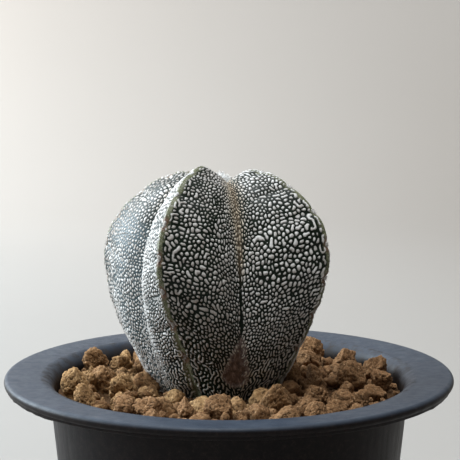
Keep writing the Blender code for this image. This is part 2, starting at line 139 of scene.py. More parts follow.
# Outward shift of each rib's crest at each section
CREST_SHIFTS = (
    (0.0, 0.0, 0.0, -0.45, -0.6, -0.3, 0.3, 0.5, 0.9, 0.2, 0.0, 0.0, 0.0, 0.0),
    (0.0, 0.6, 0.35, 0.1, 0.0, 0.0, 0.0, 0.0, 0.0, 0.0, 0.0, 0.0, 0.0, 0.0),
    (0.0, 0.0, 0.0, 0.15, 0.6, 1.0, 0.75, 0.3, 0.1, 0.0, 0.0, 0.0, 0.0, 0.0),
    (0.0, 0.0, 0.0, 0.0, 0.2, 0.3, 0.0, -0.3, 0.0, 0.2, 0.0, 0.0, 0.0, 0.0),
)
SPREAD_TOP = 30.0
SPREAD_FULL = 4.0
GROOVES = (-68.0, 15.0, 106.0, 202.0)  # azimuth of the groove after each rib
FRONT_GROOVE = 1
ROOT_DEPTH = 14.0
CHEEK = 0.13
CHEEK_SHIFT = 1.5
CHEEK_FULLNESS = 0.9
CROWN_STATION = 1.5
NOTCH_DEPTH = 0.55
BODY_MIDDLE = np.array((0.0, 0.0, 22.0))
SCAR_TOP = 14.5
SCAR_FOOT = 3.6
SCAR_HALF_WIDTH = 2.7
SCAR_DEPTH = 0.3

SOIL_Z = POT_HEIGHT - SOIL_DEPTH
FILL_Z = POT_HEIGHT - FILL_DEPTH
PLANT_BASE = np.array((PLANT_X, PLANT_Y, SOIL_Z))


# Meshes and material nodes
def smoothstep(low, high, value):
    t = np.clip((value - low) / (high - low), 0.0, 1.0)
    return t * t * (3.0 - 2.0 * t)


def unit(vectors):
    """The vectors along the last axis at length 1."""
    return vectors / np.maximum(np.linalg.norm(vectors, axis=-1, keepdims=True), 1e-9)


def band_quads(rows, steps, first=0, closed=False):
    """Quads between rings of points; closed joins the last ring to the first one.

    The first corner can decide along which diagonal a quad is split; np.roll on the corners changes it.
    """
    ring = np.arange(steps)
    after = (ring + 1) % steps
    quads = []
    for row in range(rows if closed else rows - 1):
        a, b = first + row * steps, first + (row + 1) % rows * steps
        quads.append(np.stack([a + ring, b + ring, b + after, a + after], 1))
    return np.concatenate(quads)


def make_mesh(name, points, faces, material, **attributes):
    """A smooth mesh object from points in millimetres, with an index array for each size of face."""
    mesh = bpy.data.meshes.new(name)
    faces = [np.asarray(f, np.int32) for f in faces if len(f)]
    loops = np.concatenate([f.ravel() for f in faces])
    sizes = np.concatenate([np.full(len(f), f.shape[1], np.int32) for f in faces])
    starts = np.concatenate(([0], np.cumsum(sizes)[:-1])).astype(np.int32)
    mesh.vertices.add(len(points))
    mesh.vertices.foreach_set("co", (np.asarray(points) * MM).astype(np.float32).ravel())
    mesh.loops.add(len(loops))
    mesh.loops.foreach_set("vertex_index", loops)
    mesh.polygons.add(len(sizes))
    mesh.polygons.foreach_set("loop_start", starts)
    mesh.polygons.foreach_set("loop_total", sizes)
    mesh.update(calc_edges=True)
    mesh.validate()
    mesh.polygons.foreach_set("use_smooth", np.ones(len(mesh.polygons), bool))
    for key, values in attributes.items():
        layer = mesh.attributes.new(key, "FLOAT", "POINT")
        layer.data.foreach_set("value", np.asarray(values, np.float32))
    mesh.materials.append(material)
    obj = bpy.data.objects.new(name, mesh)
    bpy.context.scene.collection.objects.link(obj)
    return obj


def finish_piece(obj, node):
    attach(obj, "root")
    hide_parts(node)


class Paint:
    """A Principled material with short calls for the nodes that colour it."""

    def __init__(self, name, roughness):
        self.material = bpy.data.materials.new(name)
        self.material.use_nodes = True
        self.tree = self.material.node_tree
        self.shader = self.tree.nodes["Principled BSDF"]
        self.shader.inputs["Roughness"].default_value = roughness
        self.place = self.tree.nodes.new("ShaderNodeTexCoord").outputs["Object"]

    def put(self, socket, value):
        if isinstance(value, bpy.types.NodeSocket):
            self.tree.links.new(value, socket)
        elif isinstance(value, tuple) and len(value) == 3 and socket.type == "RGBA":
            socket.default_value = (*value, 1.0)
        else:
            socket.default_value = value

    def attribute(self, name):
        node = self.tree.nodes.new("ShaderNodeAttribute")
        node.attribute_name = name
        return node.outputs["Fac"]

    def noise(self, size, detail=3.0, roughness=0.55, distortion=0.0, stretch=None):
        """Noise whose lumps are about size millimetres across, from 0 to 1."""
        node = self.tree.nodes.new("ShaderNodeTexNoise")
        node.inputs["Scale"].default_value = 1.0 / (size * MM)
        node.inputs["Detail"].default_value = detail
        node.inputs["Roughness"].default_value = roughness
        node.inputs["Distortion"].default_value = distortion
        vector = self.place
        if stretch:
            mapping = self.tree.nodes.new("ShaderNodeMapping")
            mapping.inputs["Scale"].default_value = stretch
            self.put(mapping.inputs["Vector"], vector)
            vector = mapping.outputs["Vector"]
        self.put(node.inputs["Vector"], vector)
        return node.outputs["Fac"]

    def cells(self, size):
        """Distance from the middle of the nearest cell."""
        node = self.tree.nodes.new("ShaderNodeTexVoronoi")
        node.inputs["Scale"].default_value = 1.0 / (size * MM)
        self.put(node.inputs["Vector"], self.place)
        return node.outputs["Distance"]

    def ramp(self, value, *stops):
        node = self.tree.nodes.new("ShaderNodeValToRGB")
        elements = node.color_ramp.elements
        while len(elements) < len(stops):
            elements.new(0.5)
        for element, (position, color) in zip(elements, stops):
            element.position = position
            element.color = (*color, 1.0)
        self.put(node.inputs["Fac"], value)
        return node.outputs["Color"]

    def fade(self, value, low, high, start=0.0, end=1.0):
        """A soft step from start at low to end at high."""
        node = self.tree.nodes.new("ShaderNodeMapRange")
        node.interpolation_type = "SMOOTHSTEP"
        for key, number in zip(("From Min", "From Max", "To Min", "To Max"), (low, high, start, end)):
            node.inputs[key].default_value = number
        self.put(node.inputs["Value"], value)
        return node.outputs["Result"]

    def mix(self, share, first, second):
        node = self.tree.nodes.new("ShaderNodeMix")
        node.data_type = "RGBA"
        self.put(node.inputs["Factor"], share)
        self.put(node.inputs[6], first)
        self.put(node.inputs[7], second)
        return node.outputs[2]

    def sum(self, operation, first, second):
        node = self.tree.nodes.new("ShaderNodeMath")
        node.operation = operation
        self.put(node.inputs[0], first)
        self.put(node.inputs[1], second)
        return node.outputs[0]

    def facing_up(self):
        """How far the surface faces upwards, from -1 to 1."""
        node = self.tree.nodes.new("ShaderNodeSeparateXYZ")
        self.put(node.inputs[0], self.tree.nodes.new("ShaderNodeNewGeometry").outputs["Normal"])
        return node.outputs["Z"]

    def bump(self, height, depth, normal=None):
        """Bump whose full range is depth millimetres."""
        node = self.tree.nodes.new("ShaderNodeBump")
        node.inputs["Distance"].default_value = depth * MM
        self.put(node.inputs["Height"], height)
        if normal:
            self.put(node.inputs["Normal"], normal)
        return node.outputs["Normal"]

    def done(self, color=None, roughness=None, normal=None):
        for key, value in (("Base Color", color), ("Roughness", roughness), ("Normal", normal)):
            if value is not None:
                self.put(self.shader.inputs[key], value)
        return self.material


# The plant's surface
def smooth_value(position, column):
    """A smooth curve through one column of STATIONS."""
    position = np.asarray(position, float)
    last = len(STATIONS) - 1
    i = np.clip(position.astype(int), 0, last - 1)
    t = position - i
    value = STATIONS[:, column]
    before, start = value[np.maximum(i - 1, 0)], value[i]
    end, after = value[i + 1], value[np.minimum(i + 2, last)]
    return 0.5 * (
        2.0 * start
        + (end - before) * t
        + (2.0 * before - 5.0 * start + 4.0 * end - after) * t * t
        + (3.0 * start - before - 3.0 * end + after) * t * t * t
    )


def at_azimuth(radius, azimuth, z):
    angle = math.radians(azimuth)
    return np.stack([radius * math.sin(angle), -radius * math.cos(angle), z], -1)


def groove_beside(rib, side):
    """Number of a rib's groove: side is 1 towards the next rib and -1 towards the one before."""
    return (rib if side > 0 else rib - 1) % len(RIBS)


def crest_point(rib, position):
    """Point on a rib's crest, which dips at each areole."""
    azimuth, reach, rise, first_areole, spread = RIBS[rib]
    z = smooth_value(position, 1)
    share = np.clip((SPREAD_TOP - z) / (SPREAD_TOP - SPREAD_FULL), 0.0, 1.0)
    under = np.clip(1.0 + z / ROOT_DEPTH, 0.0, 1.0)
    radius = smooth_value(position, 0) * reach + spread * share * share * (3.0 - 2.0 * share) * under
    between = np.abs(np.sin(np.pi * (position - first_areole)))
    notched = (position > CROWN_STATION) & (position < SOIL_STATION)
    dip = np.where(notched, NOTCH_DEPTH * (1.0 - between) ** 2, 0.0)
    point = at_azimuth(radius, azimuth, np.where(z > 0.0, z * rise, z))
    shift = np.interp(position, np.arange(len(STATIONS)), CREST_SHIFTS[rib]) - dip
    return point + unit(point - BODY_MIDDLE) * shift[..., None]


def groove_point(groove, position):
    return at_azimuth(smooth_value(position, 2), GROOVES[groove], smooth_value(position, 3))


def flank_point(rib, side, across, position):
    """Point of the ribbed body: across runs from 0 on the crest to 1 in the groove on that side."""
    position = np.asarray(position, float)
    index = groove_beside(rib, side)
    crest, groove = crest_point(rib, position), groove_point(index, position)
    ahead, behind = np.minimum(position + 0.1, len(STATIONS) - 1.0), np.maximum(position - 0.1, 0.0)
    down = crest_point(rib, ahead) + groove_point(index, ahead)
    down -= crest_point(rib, behind) + groove_point(index, behind)
    width = groove - crest
    outward = unit(np.cross(width, down))
    middle = (crest + groove) / 2.0
    facing = np.sum(outward * (middle - BODY_MIDDLE), -1, keepdims=True)
    outward = np.where(facing < 0.0, -outward, outward)
    span = np.linalg.norm(width, axis=-1)
    bulge = CHEEK * span * np.sin(np.pi * np.clip(across, 0.0, 1.0) ** CHEEK_SHIFT) ** CHEEK_FULLNESS
    return crest + width * np.asarray(across)[..., None] + outward * bulge[..., None]


def flank_width(rib, side, position):
    groove = groove_point(groove_beside(rib, side), position)
    return np.linalg.norm(crest_point(rib, position) - groove, axis=-1)


CREST_ROUNDING = 0.28
CREST_WIDTH = 0.5
CREST_FULL_WIDTH = 3.0  # on flanks narrower than this, the crests are rounded less
GROOVE_ROUNDING = 0.75
GROOVE_WIDTH = 1.3
GROOVE_FULL_WIDTH = 8.0
SCAR_EDGE = 0.35  # width over which the scar falls away from the skin
SCAR_REACH = ((2.1, 0.6), (3.7, 0.95))  # widest half width, and taper, before and after the groove


def scar_share(rib, side, across, position, point):
    """How far inside the bare corky patch a point is, in millimetres; negative outside it."""
    if groove_beside(rib, side) != FRONT_GROOVE:
        return np.full(np.shape(across), -9.0)
    from_groove = np.linalg.norm(point - groove_point(FRONT_GROOVE, position), axis=-1)
    share = (SCAR_TOP - point[..., 2]) / (SCAR_TOP - SCAR_FOOT)
    z = point[..., 2]
    wobble = 0.24 * np.sin(z * 1.3 + side) + 0.2 * np.sin(z * 3.1 + 2.0 * side) + 0.12 * np.sin(z * 7.3)
    widest, power = SCAR_REACH[side > 0]
    edge = (widest + wobble) * np.clip(share, 0.0, 1.0) ** power
    foot = (z - SCAR_FOOT - 0.7 * from_groove ** 2 / SCAR_HALF_WIDTH) * 1.2
    return np.minimum(np.where(share > 0.0, edge - from_groove, -from_groove - 0.3), foot)


def skin_point(rib, side, across, position):
    """The flank with crest and groove rounded and the scar sunk in, and its distances from the three."""
    point = flank_point(rib, side, across, position)
    width = flank_width(rib, side, position)
    from_crest = across * width
    inward = unit(BODY_MIDDLE - crest_point(rib, position))
    round_off = CREST_ROUNDING * np.exp(-((from_crest / CREST_WIDTH) ** 2))
    round_off = round_off * np.clip(width / CREST_FULL_WIDTH, 0.0, 1.0)
    point = point + inward * round_off[..., None]
    outward = unit(groove_point(groove_beside(rib, side), position) - BODY_MIDDLE)
    from_groove = (1.0 - across) * width
    fill = GROOVE_ROUNDING * np.exp(-((from_groove / GROOVE_WIDTH) ** 2))
    fill = fill * np.clip(width / GROOVE_FULL_WIDTH, 0.0, 1.0)
    point = point + outward * fill[..., None]
    scar = scar_share(rib, side, across, position, point)
    sunk = SCAR_DEPTH * smoothstep(0.0, SCAR_EDGE, scar)
    return point - unit(point * (1.0, 1.0, 0.0)) * sunk[..., None], from_crest, from_groove, scar


def surface_normals(point):
    """Unit normals of a grid of points that face away from the body's middle."""
    along, across = np.gradient(point, axis=0), np.gradient(point, axis=1)
    normal = unit(np.cross(along, across))
    outward = np.sum(normal * (point - BODY_MIDDLE * (1.0, 1.0, 0.9)), -1, keepdims=True)
    return np.where(outward < 0.0, -normal, normal)


FIRST_BROWN_AREOLES = (0, 3, 4, 0)  # the ones nearer to the crown have no brown mark or bare ring


def areole_stations(rib):
    """Sections at which the areoles of a rib lie."""
    first = RIBS[rib][3]
    return first + np.arange(1, int(SOIL_STATION - 1.2 - first) + 1)


def areole_distance(rib, position, from_crest):
    """Millimetres from the nearest areole of the rib that has a brown mark."""
    there = crest_point(rib, position)
    nearest = np.full(np.shape(from_crest), 99.0)
    for station in areole_stations(rib)[FIRST_BROWN_AREOLES[rib]:]:
        along = np.linalg.norm(there - crest_point(rib, station), axis=-1)
        nearest = np.minimum(nearest, np.hypot(along, from_crest))
    return nearest


def groove_wool(rib, side, position, from_groove, reach):
    """Share of tan wool: in the front groove from mid height up, in the others only near the crown."""
    height = smooth_value(position, 3)
    if groove_beside(rib, side) == FRONT_GROOVE:
        length = smoothstep(23.0, 29.0, height)
    else:
        length = 0.7 * smoothstep(30.0, 39.0, height)
    edge = reach * (0.4 + 0.6 * smoothstep(25.0, 39.0, height))
    return length * (1.0 - smoothstep(0.3, edge, from_groove))


PAINTED_SHEEN = ((0.7, 0.84), (0.3, 0.0), (0.0, 0.0), (0.1, 0.3))  # share of the painted sheen, a painted reflection, on the flanks before and after each crest


def painted_sheen_share(rib, side, position):
    """Share of the pale bluish painted sheen on the skin, a painted reflection of the window: most of it is
    on the left-hand rib, high up.
    """
    height = smooth_value(position, 1)
    amount = (0.52 + 0.28 * smoothstep(10.0, 30.0, height)) * (1.0 - 0.9 * smoothstep(36.5, 39.0, height))
    return amount * PAINTED_SHEEN[rib][side > 0]


# Skin
FOOT_STATION = 11.6
SKIN_COLUMNS = 30  # on each flank
SKIN_ROWS = 190
SKIN_WOOL_REACH = 1.5
BARK_ROUGHNESS = 0.16
# Distances and shares at the growing point and under the foot
POLE_VALUES = {"crest": 0.0, "scar": -9.0, "wool": 0.6, "areole": 9.0, "painted_sheen": 0.0}


def skin_material():
    paint = Paint("cactus_skin", 0.42)
    paint.shader.inputs["Specular IOR Level"].default_value = 0.16
    crest, scar, wool, areole = (paint.attribute(n) for n in ("crest", "scar", "wool", "areole"))
    mottle = paint.noise(1.6, 4.0)
    green = paint.ramp(mottle, (0.3, (0.0030, 0.0060, 0.0035)), (0.7, (0.0085, 0.0150, 0.0085)))
    olive = paint.ramp(paint.noise(0.9, 4.0, 0.6), (0.3, (0.055, 0.066, 0.030)), (0.7, (0.170, 0.172, 0.100)))
    patchy = paint.noise(0.5, 4.0, 0.65)
    brown = paint.ramp(patchy, (0.35, (0.075, 0.040, 0.028)), (0.7, (0.23, 0.150, 0.105)))
    ragged = paint.sum("ADD", crest, paint.fade(paint.noise(1.3, 3.0), 0.3, 0.7, -0.28, 0.28))
    pale = paint.fade(paint.noise(0.3, 4.0, 0.7), 0.52, 0.62, 0.0, 0.6)
    olive = paint.mix(pale, olive, (0.42, 0.40, 0.35))
    # Painted reflection: a pale bluish sheen of the window on the flanks, most of all on the left-hand rib.
    painted_sheen_color = paint.ramp(paint.noise(2.5, 3.0), (0.3, (0.068, 0.095, 0.104)), (0.7, (0.094, 0.128, 0.148)))
    green = paint.mix(paint.attribute("painted_sheen"), green, painted_sheen_color)
    color = paint.mix(paint.fade(ragged, 1.25, 0.6), green, olive)
    marks = paint.sum("MULTIPLY", paint.fade(areole, 2.1, 0.9), paint.fade(ragged, 1.2, 0.5))
    color = paint.mix(marks, color, brown)
    tan = paint.ramp(paint.noise(0.4, 3.0), (0.3, (0.050, 0.036, 0.022)), (0.7, (0.17, 0.130, 0.088)))
    color = paint.mix(wool, color, tan)
    grain = paint.noise(0.45, 6.0, 0.7, 0.6, stretch=(1.0, 1.0, 0.22))
    cork = paint.ramp(
        grain, (0.3, (0.040, 0.025, 0.019)), (0.5, (0.110, 0.072, 0.056)), (0.72, (0.30, 0.205, 0.165))
    )
    frayed = paint.sum("ADD", scar, paint.fade(paint.noise(0.45, 4.0, 0.7), 0.3, 0.7, -0.35, 0.35))
    corky = paint.fade(frayed, -0.15, 0.15)
    rind = paint.ramp(grain, (0.3, (0.095, 0.066, 0.058)), (0.7, (0.30, 0.235, 0.215)))
    color = paint.mix(paint.fade(frayed, -0.75, -0.25), color, rind)
    color = paint.mix(paint.fade(frayed, -0.05, 0.65), color, cork)
    rough = paint.mix(corky, paint.ramp(mottle, (0.2, (0.36,) * 3), (0.8, (0.50,) * 3)), (0.9,) * 3)
    fine = paint.bump(paint.noise(0.18, 3.0), 0.02)
    bark = paint.sum("MULTIPLY", grain, corky)
    return paint.done(color, rough, paint.bump(bark, 0.25, fine))


def build_skin(material):
    """The smooth ribbed body: one net of points all round, from the growing point to under the soil."""
    across = 0.5 - 0.5 * np.cos(np.pi * np.linspace(0.0, 1.0, SKIN_COLUMNS + 1))
    rows = np.linspace(0.0, FOOT_STATION, SKIN_ROWS + 1)[1:]
    rings, data = [], {key: [] for key in POLE_VALUES}
    for rib in range(len(RIBS)):
        for side, steps in ((1, range(SKIN_COLUMNS)), (-1, range(SKIN_COLUMNS, 0, -1))):
            use = rib if side > 0 else (rib + 1) % len(RIBS)
            place, station = np.broadcast_arrays(across[None, list(steps)], rows[:, None])
            point, crest, groove, scar = skin_point(use, side, place, station)
            rings.append(point)
            data["crest"].append(crest)
            data["scar"].append(scar)
            data["wool"].append(groove_wool(use, side, station, groove, SKIN_WOOL_REACH))
            data["areole"].append(areole_distance(use, station, crest))
            # Painted shade: less painted sheen near the crest, where the flank turns away from the window.
            painted_sheen = painted_sheen_share(use, side, station) * (0.6 + 0.4 * smoothstep(0.0, 8.0, crest))
            data["painted_sheen"].append(painted_sheen)
    grid = np.concatenate(rings, 1)
    values = {key: np.concatenate(item, 1).ravel() for key, item in data.items()}
    count = grid.shape[1]
    flat = grid.reshape(-1, 3)
    for i in np.nonzero(values["scar"] > 0.05)[0]:  # rough bark inside the scar
        depth = noise.fractal(Vector(flat[i]) * 0.9, 0.7, 2.1, 4)
        away = unit(flat[i] * (1.0, 1.0, 0.0))
        flat[i] += away * BARK_ROUGHNESS * depth * min(1.0, values["scar"][i] * 2.0)
    points = np.vstack([[(0.0, 0.0, STATIONS[0][1])], flat, [(0.0, 0.0, flat[-count:, 2].mean())]])
    values = {key: np.concatenate([[pole], values[key], [pole]]) for key, pole in POLE_VALUES.items()}
    ring = np.arange(count)
    after = (ring + 1) % count
    last = 1 + (len(rows) - 1) * count
    top = np.stack([1 + ring, 1 + after, np.zeros(count, int)], 1)
    foot = np.stack([last + after, last + ring, np.full(count, len(points) - 1)], 1)
    faces = [np.roll(band_quads(len(rows), count, first=1), -1, axis=1), np.concatenate([top, foot])]
    skin = make_mesh("cactus_skin", points + PLANT_BASE, faces, material, **values)
    finish_piece(skin, "cactus_body")


# Flecks
PER_WAVE = 5.2  # net points in one wavelength of the pattern
FLECK_HEIGHT = 0.17
FLECK_SUNK = 0.04
FLECK_EDGE = 0.35  # how soon a fleck rises from its edge to its full height
FLECK_WOOL_REACH = 3.8
FLECK_TOP = 0.9  # the section where the flecks start
AREOLE_RING = 0.8  # bare skin round an areole
RAGGEDNESS = 0.2  # of the flecks' limits
DRIFT = 1.1  # how far the pattern's net is warped, in net points
CREST_MARGINS = ((0.4, 0.3), (0.2, 0.85), (0.6, 0.4), (0.4, 0.4))  # bare strip on each side of the crests
GROOVE_MARGIN = 0.06
BARE_GROOVE = 0.18  # of the front groove below its wool
PATTERN_SEED = 5
# Wavelength of the pattern in millimetres on each rib at heights above the soil. Pairs of numbers are for the
# flanks before and after each crest.
WAVE_HEIGHTS = (-6.0, 2.0, 10.0, 18.0, 26.0, 34.0, 40.0, 46.0)
WAVES = (
    (0.84, 0.86, 0.80, 0.74, 0.74, 0.70, 0.62, 0.60),
    (0.84, 0.84, 0.77, 0.77, 0.80, 0.76, 0.66, 0.60),
    (0.88, 0.84, 0.70, 0.70, 0.88, 0.85, 0.70, 0.66),
    (1.04, 1.08, 0.98, 0.90, 0.92, 0.88, 0.80, 0.72),
)
SIDE_WAVES = ((1.30, 0.94), (0.86, 1.0), (1.0, 1.12), (1.0, 1.0))
HIGH_WAVES = ((1.0, 1.30), (1.45, 1.0), (1.0, 1.0), (1.0, 1.0))  # the same again, near the crown
GROOVE_CLOSENESS = 0.48  # how much closer the flecks stand by a groove
SPOT_BIAS = -0.60
WORM_BIAS = -0.22
FILL = 0.14  # in place of the bias in the last rounds
ROUNDS = 28
FILL_ROUNDS = 2
NEAR_REACH = 0.5
FAR_REACH = 1.5
FROZEN_NOISE = 0.16
FROZEN_PUSH = 0.20
CORE = 0.3  # where the pattern stands higher than this is a fleck's core
HOLE_REACH = 0.66  # a place farther from every core than this, in wavelengths, gets one of its own
HOLE_BLUR = 16.0
SWELL_BLUR = 9.0
SPOT_GAP = 0.175  # half the bare gap between flecks, in wavelengths
WORM_GAP = 0.22
GAP_CUTS = ((0.0, 0.01), (0.03, -0.005), (0.01, 0.0), (0.0, 0.0))  # narrower gaps on each side of the crests
SPOT_SPREAD = 1.15  # how far below 0 in the pattern a spot may spread
WORM_THINNING = 0.25
CORE_REACH = 0.46  # how far a fleck swells out from its core, in wavelengths
WORM_GRAIN = 0.07  # how strongly the worms run down the flank
# Corner and edge numbers of the polygons that fill the part of a cell where the pattern stands high.
# Corners 0 to 3 run round the cell, and edge 4 + i joins corner i to the next one.
CELL_FACES = {
    1: ((0, 4, 7),), 2: ((1, 5, 4),), 4: ((2, 6, 5),), 8: ((3, 7, 6),),
    3: ((0, 1, 5, 7),), 6: ((1, 2, 6, 4),), 12: ((2, 3, 7, 5),), 9: ((3, 0, 4, 6),),
    5: ((0, 4, 7), (2, 6, 5)), 10: ((1, 5, 4), (3, 7, 6)),
    7: ((0, 1, 2, 6, 7),), 14: ((1, 2, 3, 7, 4),), 13: ((2, 3, 0, 4, 5),), 11: ((3, 0, 1, 5, 6),),
    15: ((0, 1, 2, 3),),
}


def smoothed(value, strength, size=1.0):
    """A net of values, blurred; the blur wraps round the edges."""
    rows, columns = np.fft.fftfreq(value.shape[-2]), np.fft.rfftfreq(value.shape[-1])
    keep = np.exp(-strength * (rows[:, None] ** 2 + columns[None] ** 2) * size * size)
    return np.fft.irfft2(np.fft.rfft2(value) * keep, s=value.shape[-2:])


def soft_noise(shape, size, rng):
    """Smooth random values, about -1 to 1, with lumps of the given number of net points."""
    value = smoothed(rng.standard_normal(shape), 5.12, size)
    return value / (2.0 * value.std())


def fleck_wave(rib, side, height):
    """Distance from fleck to fleck in millimetres at a height on the flank."""
    high = 1.0 + (HIGH_WAVES[rib][side > 0] - 1.0) * smoothstep(32.0, 37.0, height)
    return np.interp(height, WAVE_HEIGHTS, WAVES[rib]) * SIDE_WAVES[rib][side > 0] * high


def flank_line(rib, side):
    """Stations down the middle of a flank, their points, and the wavelength at each."""
    stations = np.linspace(FLECK_TOP * 0.6, FOOT_STATION, 700)
    middle = flank_point(rib, side, np.full(stations.shape, 0.5), stations)
    return stations, middle, fleck_wave(rib, side, middle[:, 2])


def flank_chart(rib, side, rows, columns, drift):
    """Place across the flank, and station, for a net with steps of an even share of the wavelength."""
    stations, middle, wave = flank_line(rib, side)
    step = np.linalg.norm(np.diff(middle, axis=0), axis=-1) * 2.0 / (wave[1:] + wave[:-1])
    length = np.concatenate([[0.0], np.cumsum(step)])
    width = np.maximum(1.04 * flank_width(rib, side, stations), 0.6) / wave
    s = np.linspace(-0.6, 1.6, 400)
    stretch = 1.0 / np.maximum(1.08 - GROOVE_CLOSENESS * np.clip(s, 0.0, 1.0) ** 2, 0.1)
    reach = np.concatenate([[0.0], np.cumsum((stretch[1:] + stretch[:-1]) / 2.0 * (s[1] - s[0]))])
    reach -= np.interp(0.5, s, reach)
    y = (np.arange(rows)[:, None] + drift[0]) / PER_WAVE
    x = (np.arange(columns)[None] - (columns - 1) / 2.0 + drift[1]) / PER_WAVE
    position = np.interp(y, length, stations)
    across = np.interp(x / np.interp(position, stations, width), reach, s)
    return across, position


def chart_size(rib, side):
    """Rows and columns that the flank needs."""
    stations, middle, wave = flank_line(rib, side)
    long = np.sum(np.linalg.norm(np.diff(middle, axis=0), axis=-1) / wave[1:])
    wide = np.max(1.04 * flank_width(rib, side, stations) / wave)
    return int(long * PER_WAVE), int((wide * 1.14 + 1.0) * PER_WAVE)


def worm_share(rib, side, across, position, wander):
    """0 where the flecks are round, 1 where they run together into short worms and rings."""
    height = smooth_value(position, 1)
    from_crest = across * flank_width(rib, side, position)
    low = 1.0 - smoothstep(7.0, 18.0, height + 5.0 * wander)
    edge = (1.0 - smoothstep(0.8, 3.6, from_crest)) * smoothstep(-0.5, 0.7, wander)
    edge = edge * (0.8 if rib in (FRONT_RIB, RIGHT_RIB) else 0.2)
    return np.clip(low + edge + 0.3 * smoothstep(0.6, 1.2, wander), 0.0, 1.0)


def streak_push(rib, side, across, position, wander):
    """A push that draws out streaks running away from each areole."""
    from_crest = across * flank_width(rib, side, position)
    push = np.zeros(np.shape(from_crest))
    there = crest_point(rib, position)
    for number, station in enumerate(areole_stations(rib)):
        along = np.linalg.norm(there - crest_point(rib, station), axis=-1) * np.sign(position - station)
        far = np.hypot(along, from_crest)
        angle = np.arctan2(along, from_crest)
        spokes = np.cos(angle * (7.0 + number % 3) + 1.7 * number + side)
        near = smoothstep(0.8, 1.4, far) * (1.0 - smoothstep(3.0, 6.2, far))
        push += near * np.maximum(spokes, -0.15)
    if rib == RIGHT_RIB and side < 0:  # Long flecks lie along the right-hand crest.
        here = smoothstep(3.3, 4.0, position) * (1.0 - smoothstep(6.4, 7.2, position))
        push = push * (1.0 - 0.4 * here)
        ridge = np.maximum(np.cos(from_crest * 4.2 + 5.0 * position), -0.1)
        push += 0.8 * here * ridge * (1.0 - smoothstep(1.6, 4.4, from_crest + 1.6 * wander))
    return push


def grow_pattern(bias, worms, push, rng):
    """Spots and worms: each point takes after its near neighbours and differs from those farther off."""
    shape = bias.shape
    rows = np.fft.fftfreq(shape[0])[:, None] * PER_WAVE
    columns = np.fft.rfftfreq(shape[1])[None] * PER_WAVE
    squared = rows ** 2 + columns ** 2
    far_share = NEAR_REACH / FAR_REACH * math.exp(FAR_REACH - NEAR_REACH)
    answer = np.exp(-NEAR_REACH * squared) - far_share * np.exp(-FAR_REACH * squared)
    answer *= 2.0 / (math.exp(-NEAR_REACH) - far_share * math.exp(-FAR_REACH))
    grained = answer * (1.0 + WORM_GRAIN * (columns ** 2 - rows ** 2) / np.maximum(squared, 1e-9))
    frozen = FROZEN_NOISE * soft_noise(shape, 0.6 * PER_WAVE, rng) + FROZEN_PUSH * push
    value = 0.3 * soft_noise(shape, 0.3 * PER_WAVE, rng)
    for turn in range(ROUNDS):
        spectrum = np.fft.rfft2(value)
        plain, drawn = (np.fft.irfft2(spectrum * item, s=shape) for item in (answer, grained))
        value = plain + (drawn - plain) * worms + frozen + (bias if turn < ROUNDS - FILL_ROUNDS else FILL)
        if turn < ROUNDS - 1:
            value = np.clip(value, -1.0, 1.0)
    return value


def cores(inside):
    """A number for each connected part, and 0 outside them."""
    label = np.where(inside, np.arange(1, inside.size + 1).reshape(inside.shape), 0)
    while True:
        wide = np.pad(label, 1)
        around = (wide[1:-1, 1:-1], wide[:-2, 1:-1], wide[2:, 1:-1], wide[1:-1, :-2], wide[1:-1, 2:])
        spread = np.where(inside, np.maximum.reduce(around), 0)
        if np.array_equal(spread, label):
            return label
        label = spread


def shifts(item, reach, edge):
    """An array moved by every step up to a reach, the shortest first, with each step's length."""
    wide = np.pad(item, reach, constant_values=edge)
    rows, columns = item.shape
    span = range(-reach, reach + 1)
    for distance, y, x in sorted((math.hypot(y, x), y, x) for y in span for x in span):
        if distance <= reach:
            yield distance, wide[reach + y:reach + y + rows, reach + x:reach + x + columns]


def fill_holes(value):
    """The pattern with one more fleck in the middle of each place that it left bare."""
    reach = int(1.5 * PER_WAVE)
    near = np.full(value.shape, float(reach))
    for distance, other in shifts(value > CORE, reach, True):
        near = np.where(other, np.minimum(near, distance), near)
    peak = near
    for _, other in shifts(near, int(0.8 * PER_WAVE), 0.0):
        peak = np.maximum(peak, other)
    middle = (near >= peak) & (near > HOLE_REACH * PER_WAVE)
    spots = smoothed(middle.astype(float), HOLE_BLUR)
    return np.maximum(value, 1.5 * np.clip(8.0 * spots, 0.0, 1.0) - 1.0)


def swell(value, gap):
    """The cores of a pattern, swollen until only narrow even gaps are left; above 0 in the flecks."""
    shape, label, radius = value.shape, cores(value > CORE), int(1.25 * PER_WAVE)
    nearest, found = np.zeros(shape, int), np.zeros(shape, bool)
    near, far = np.full(shape, float(radius)), np.full(shape, float(radius))
    for distance, other in shifts(label, radius, 0):
        first = (nearest == 0) & (other > 0)
        near[first] = distance
        nearest[first] = other[first]
        second = (other > 0) & (other != nearest) & ~found
        far[second] = distance
        found |= second
    near, far = smoothed(near, SWELL_BLUR), smoothed(far, SWELL_BLUR)
    field = np.minimum((far - near) / 2.0 - gap * PER_WAVE, CORE_REACH * PER_WAVE - near)
    return field / (0.25 * PER_WAVE)


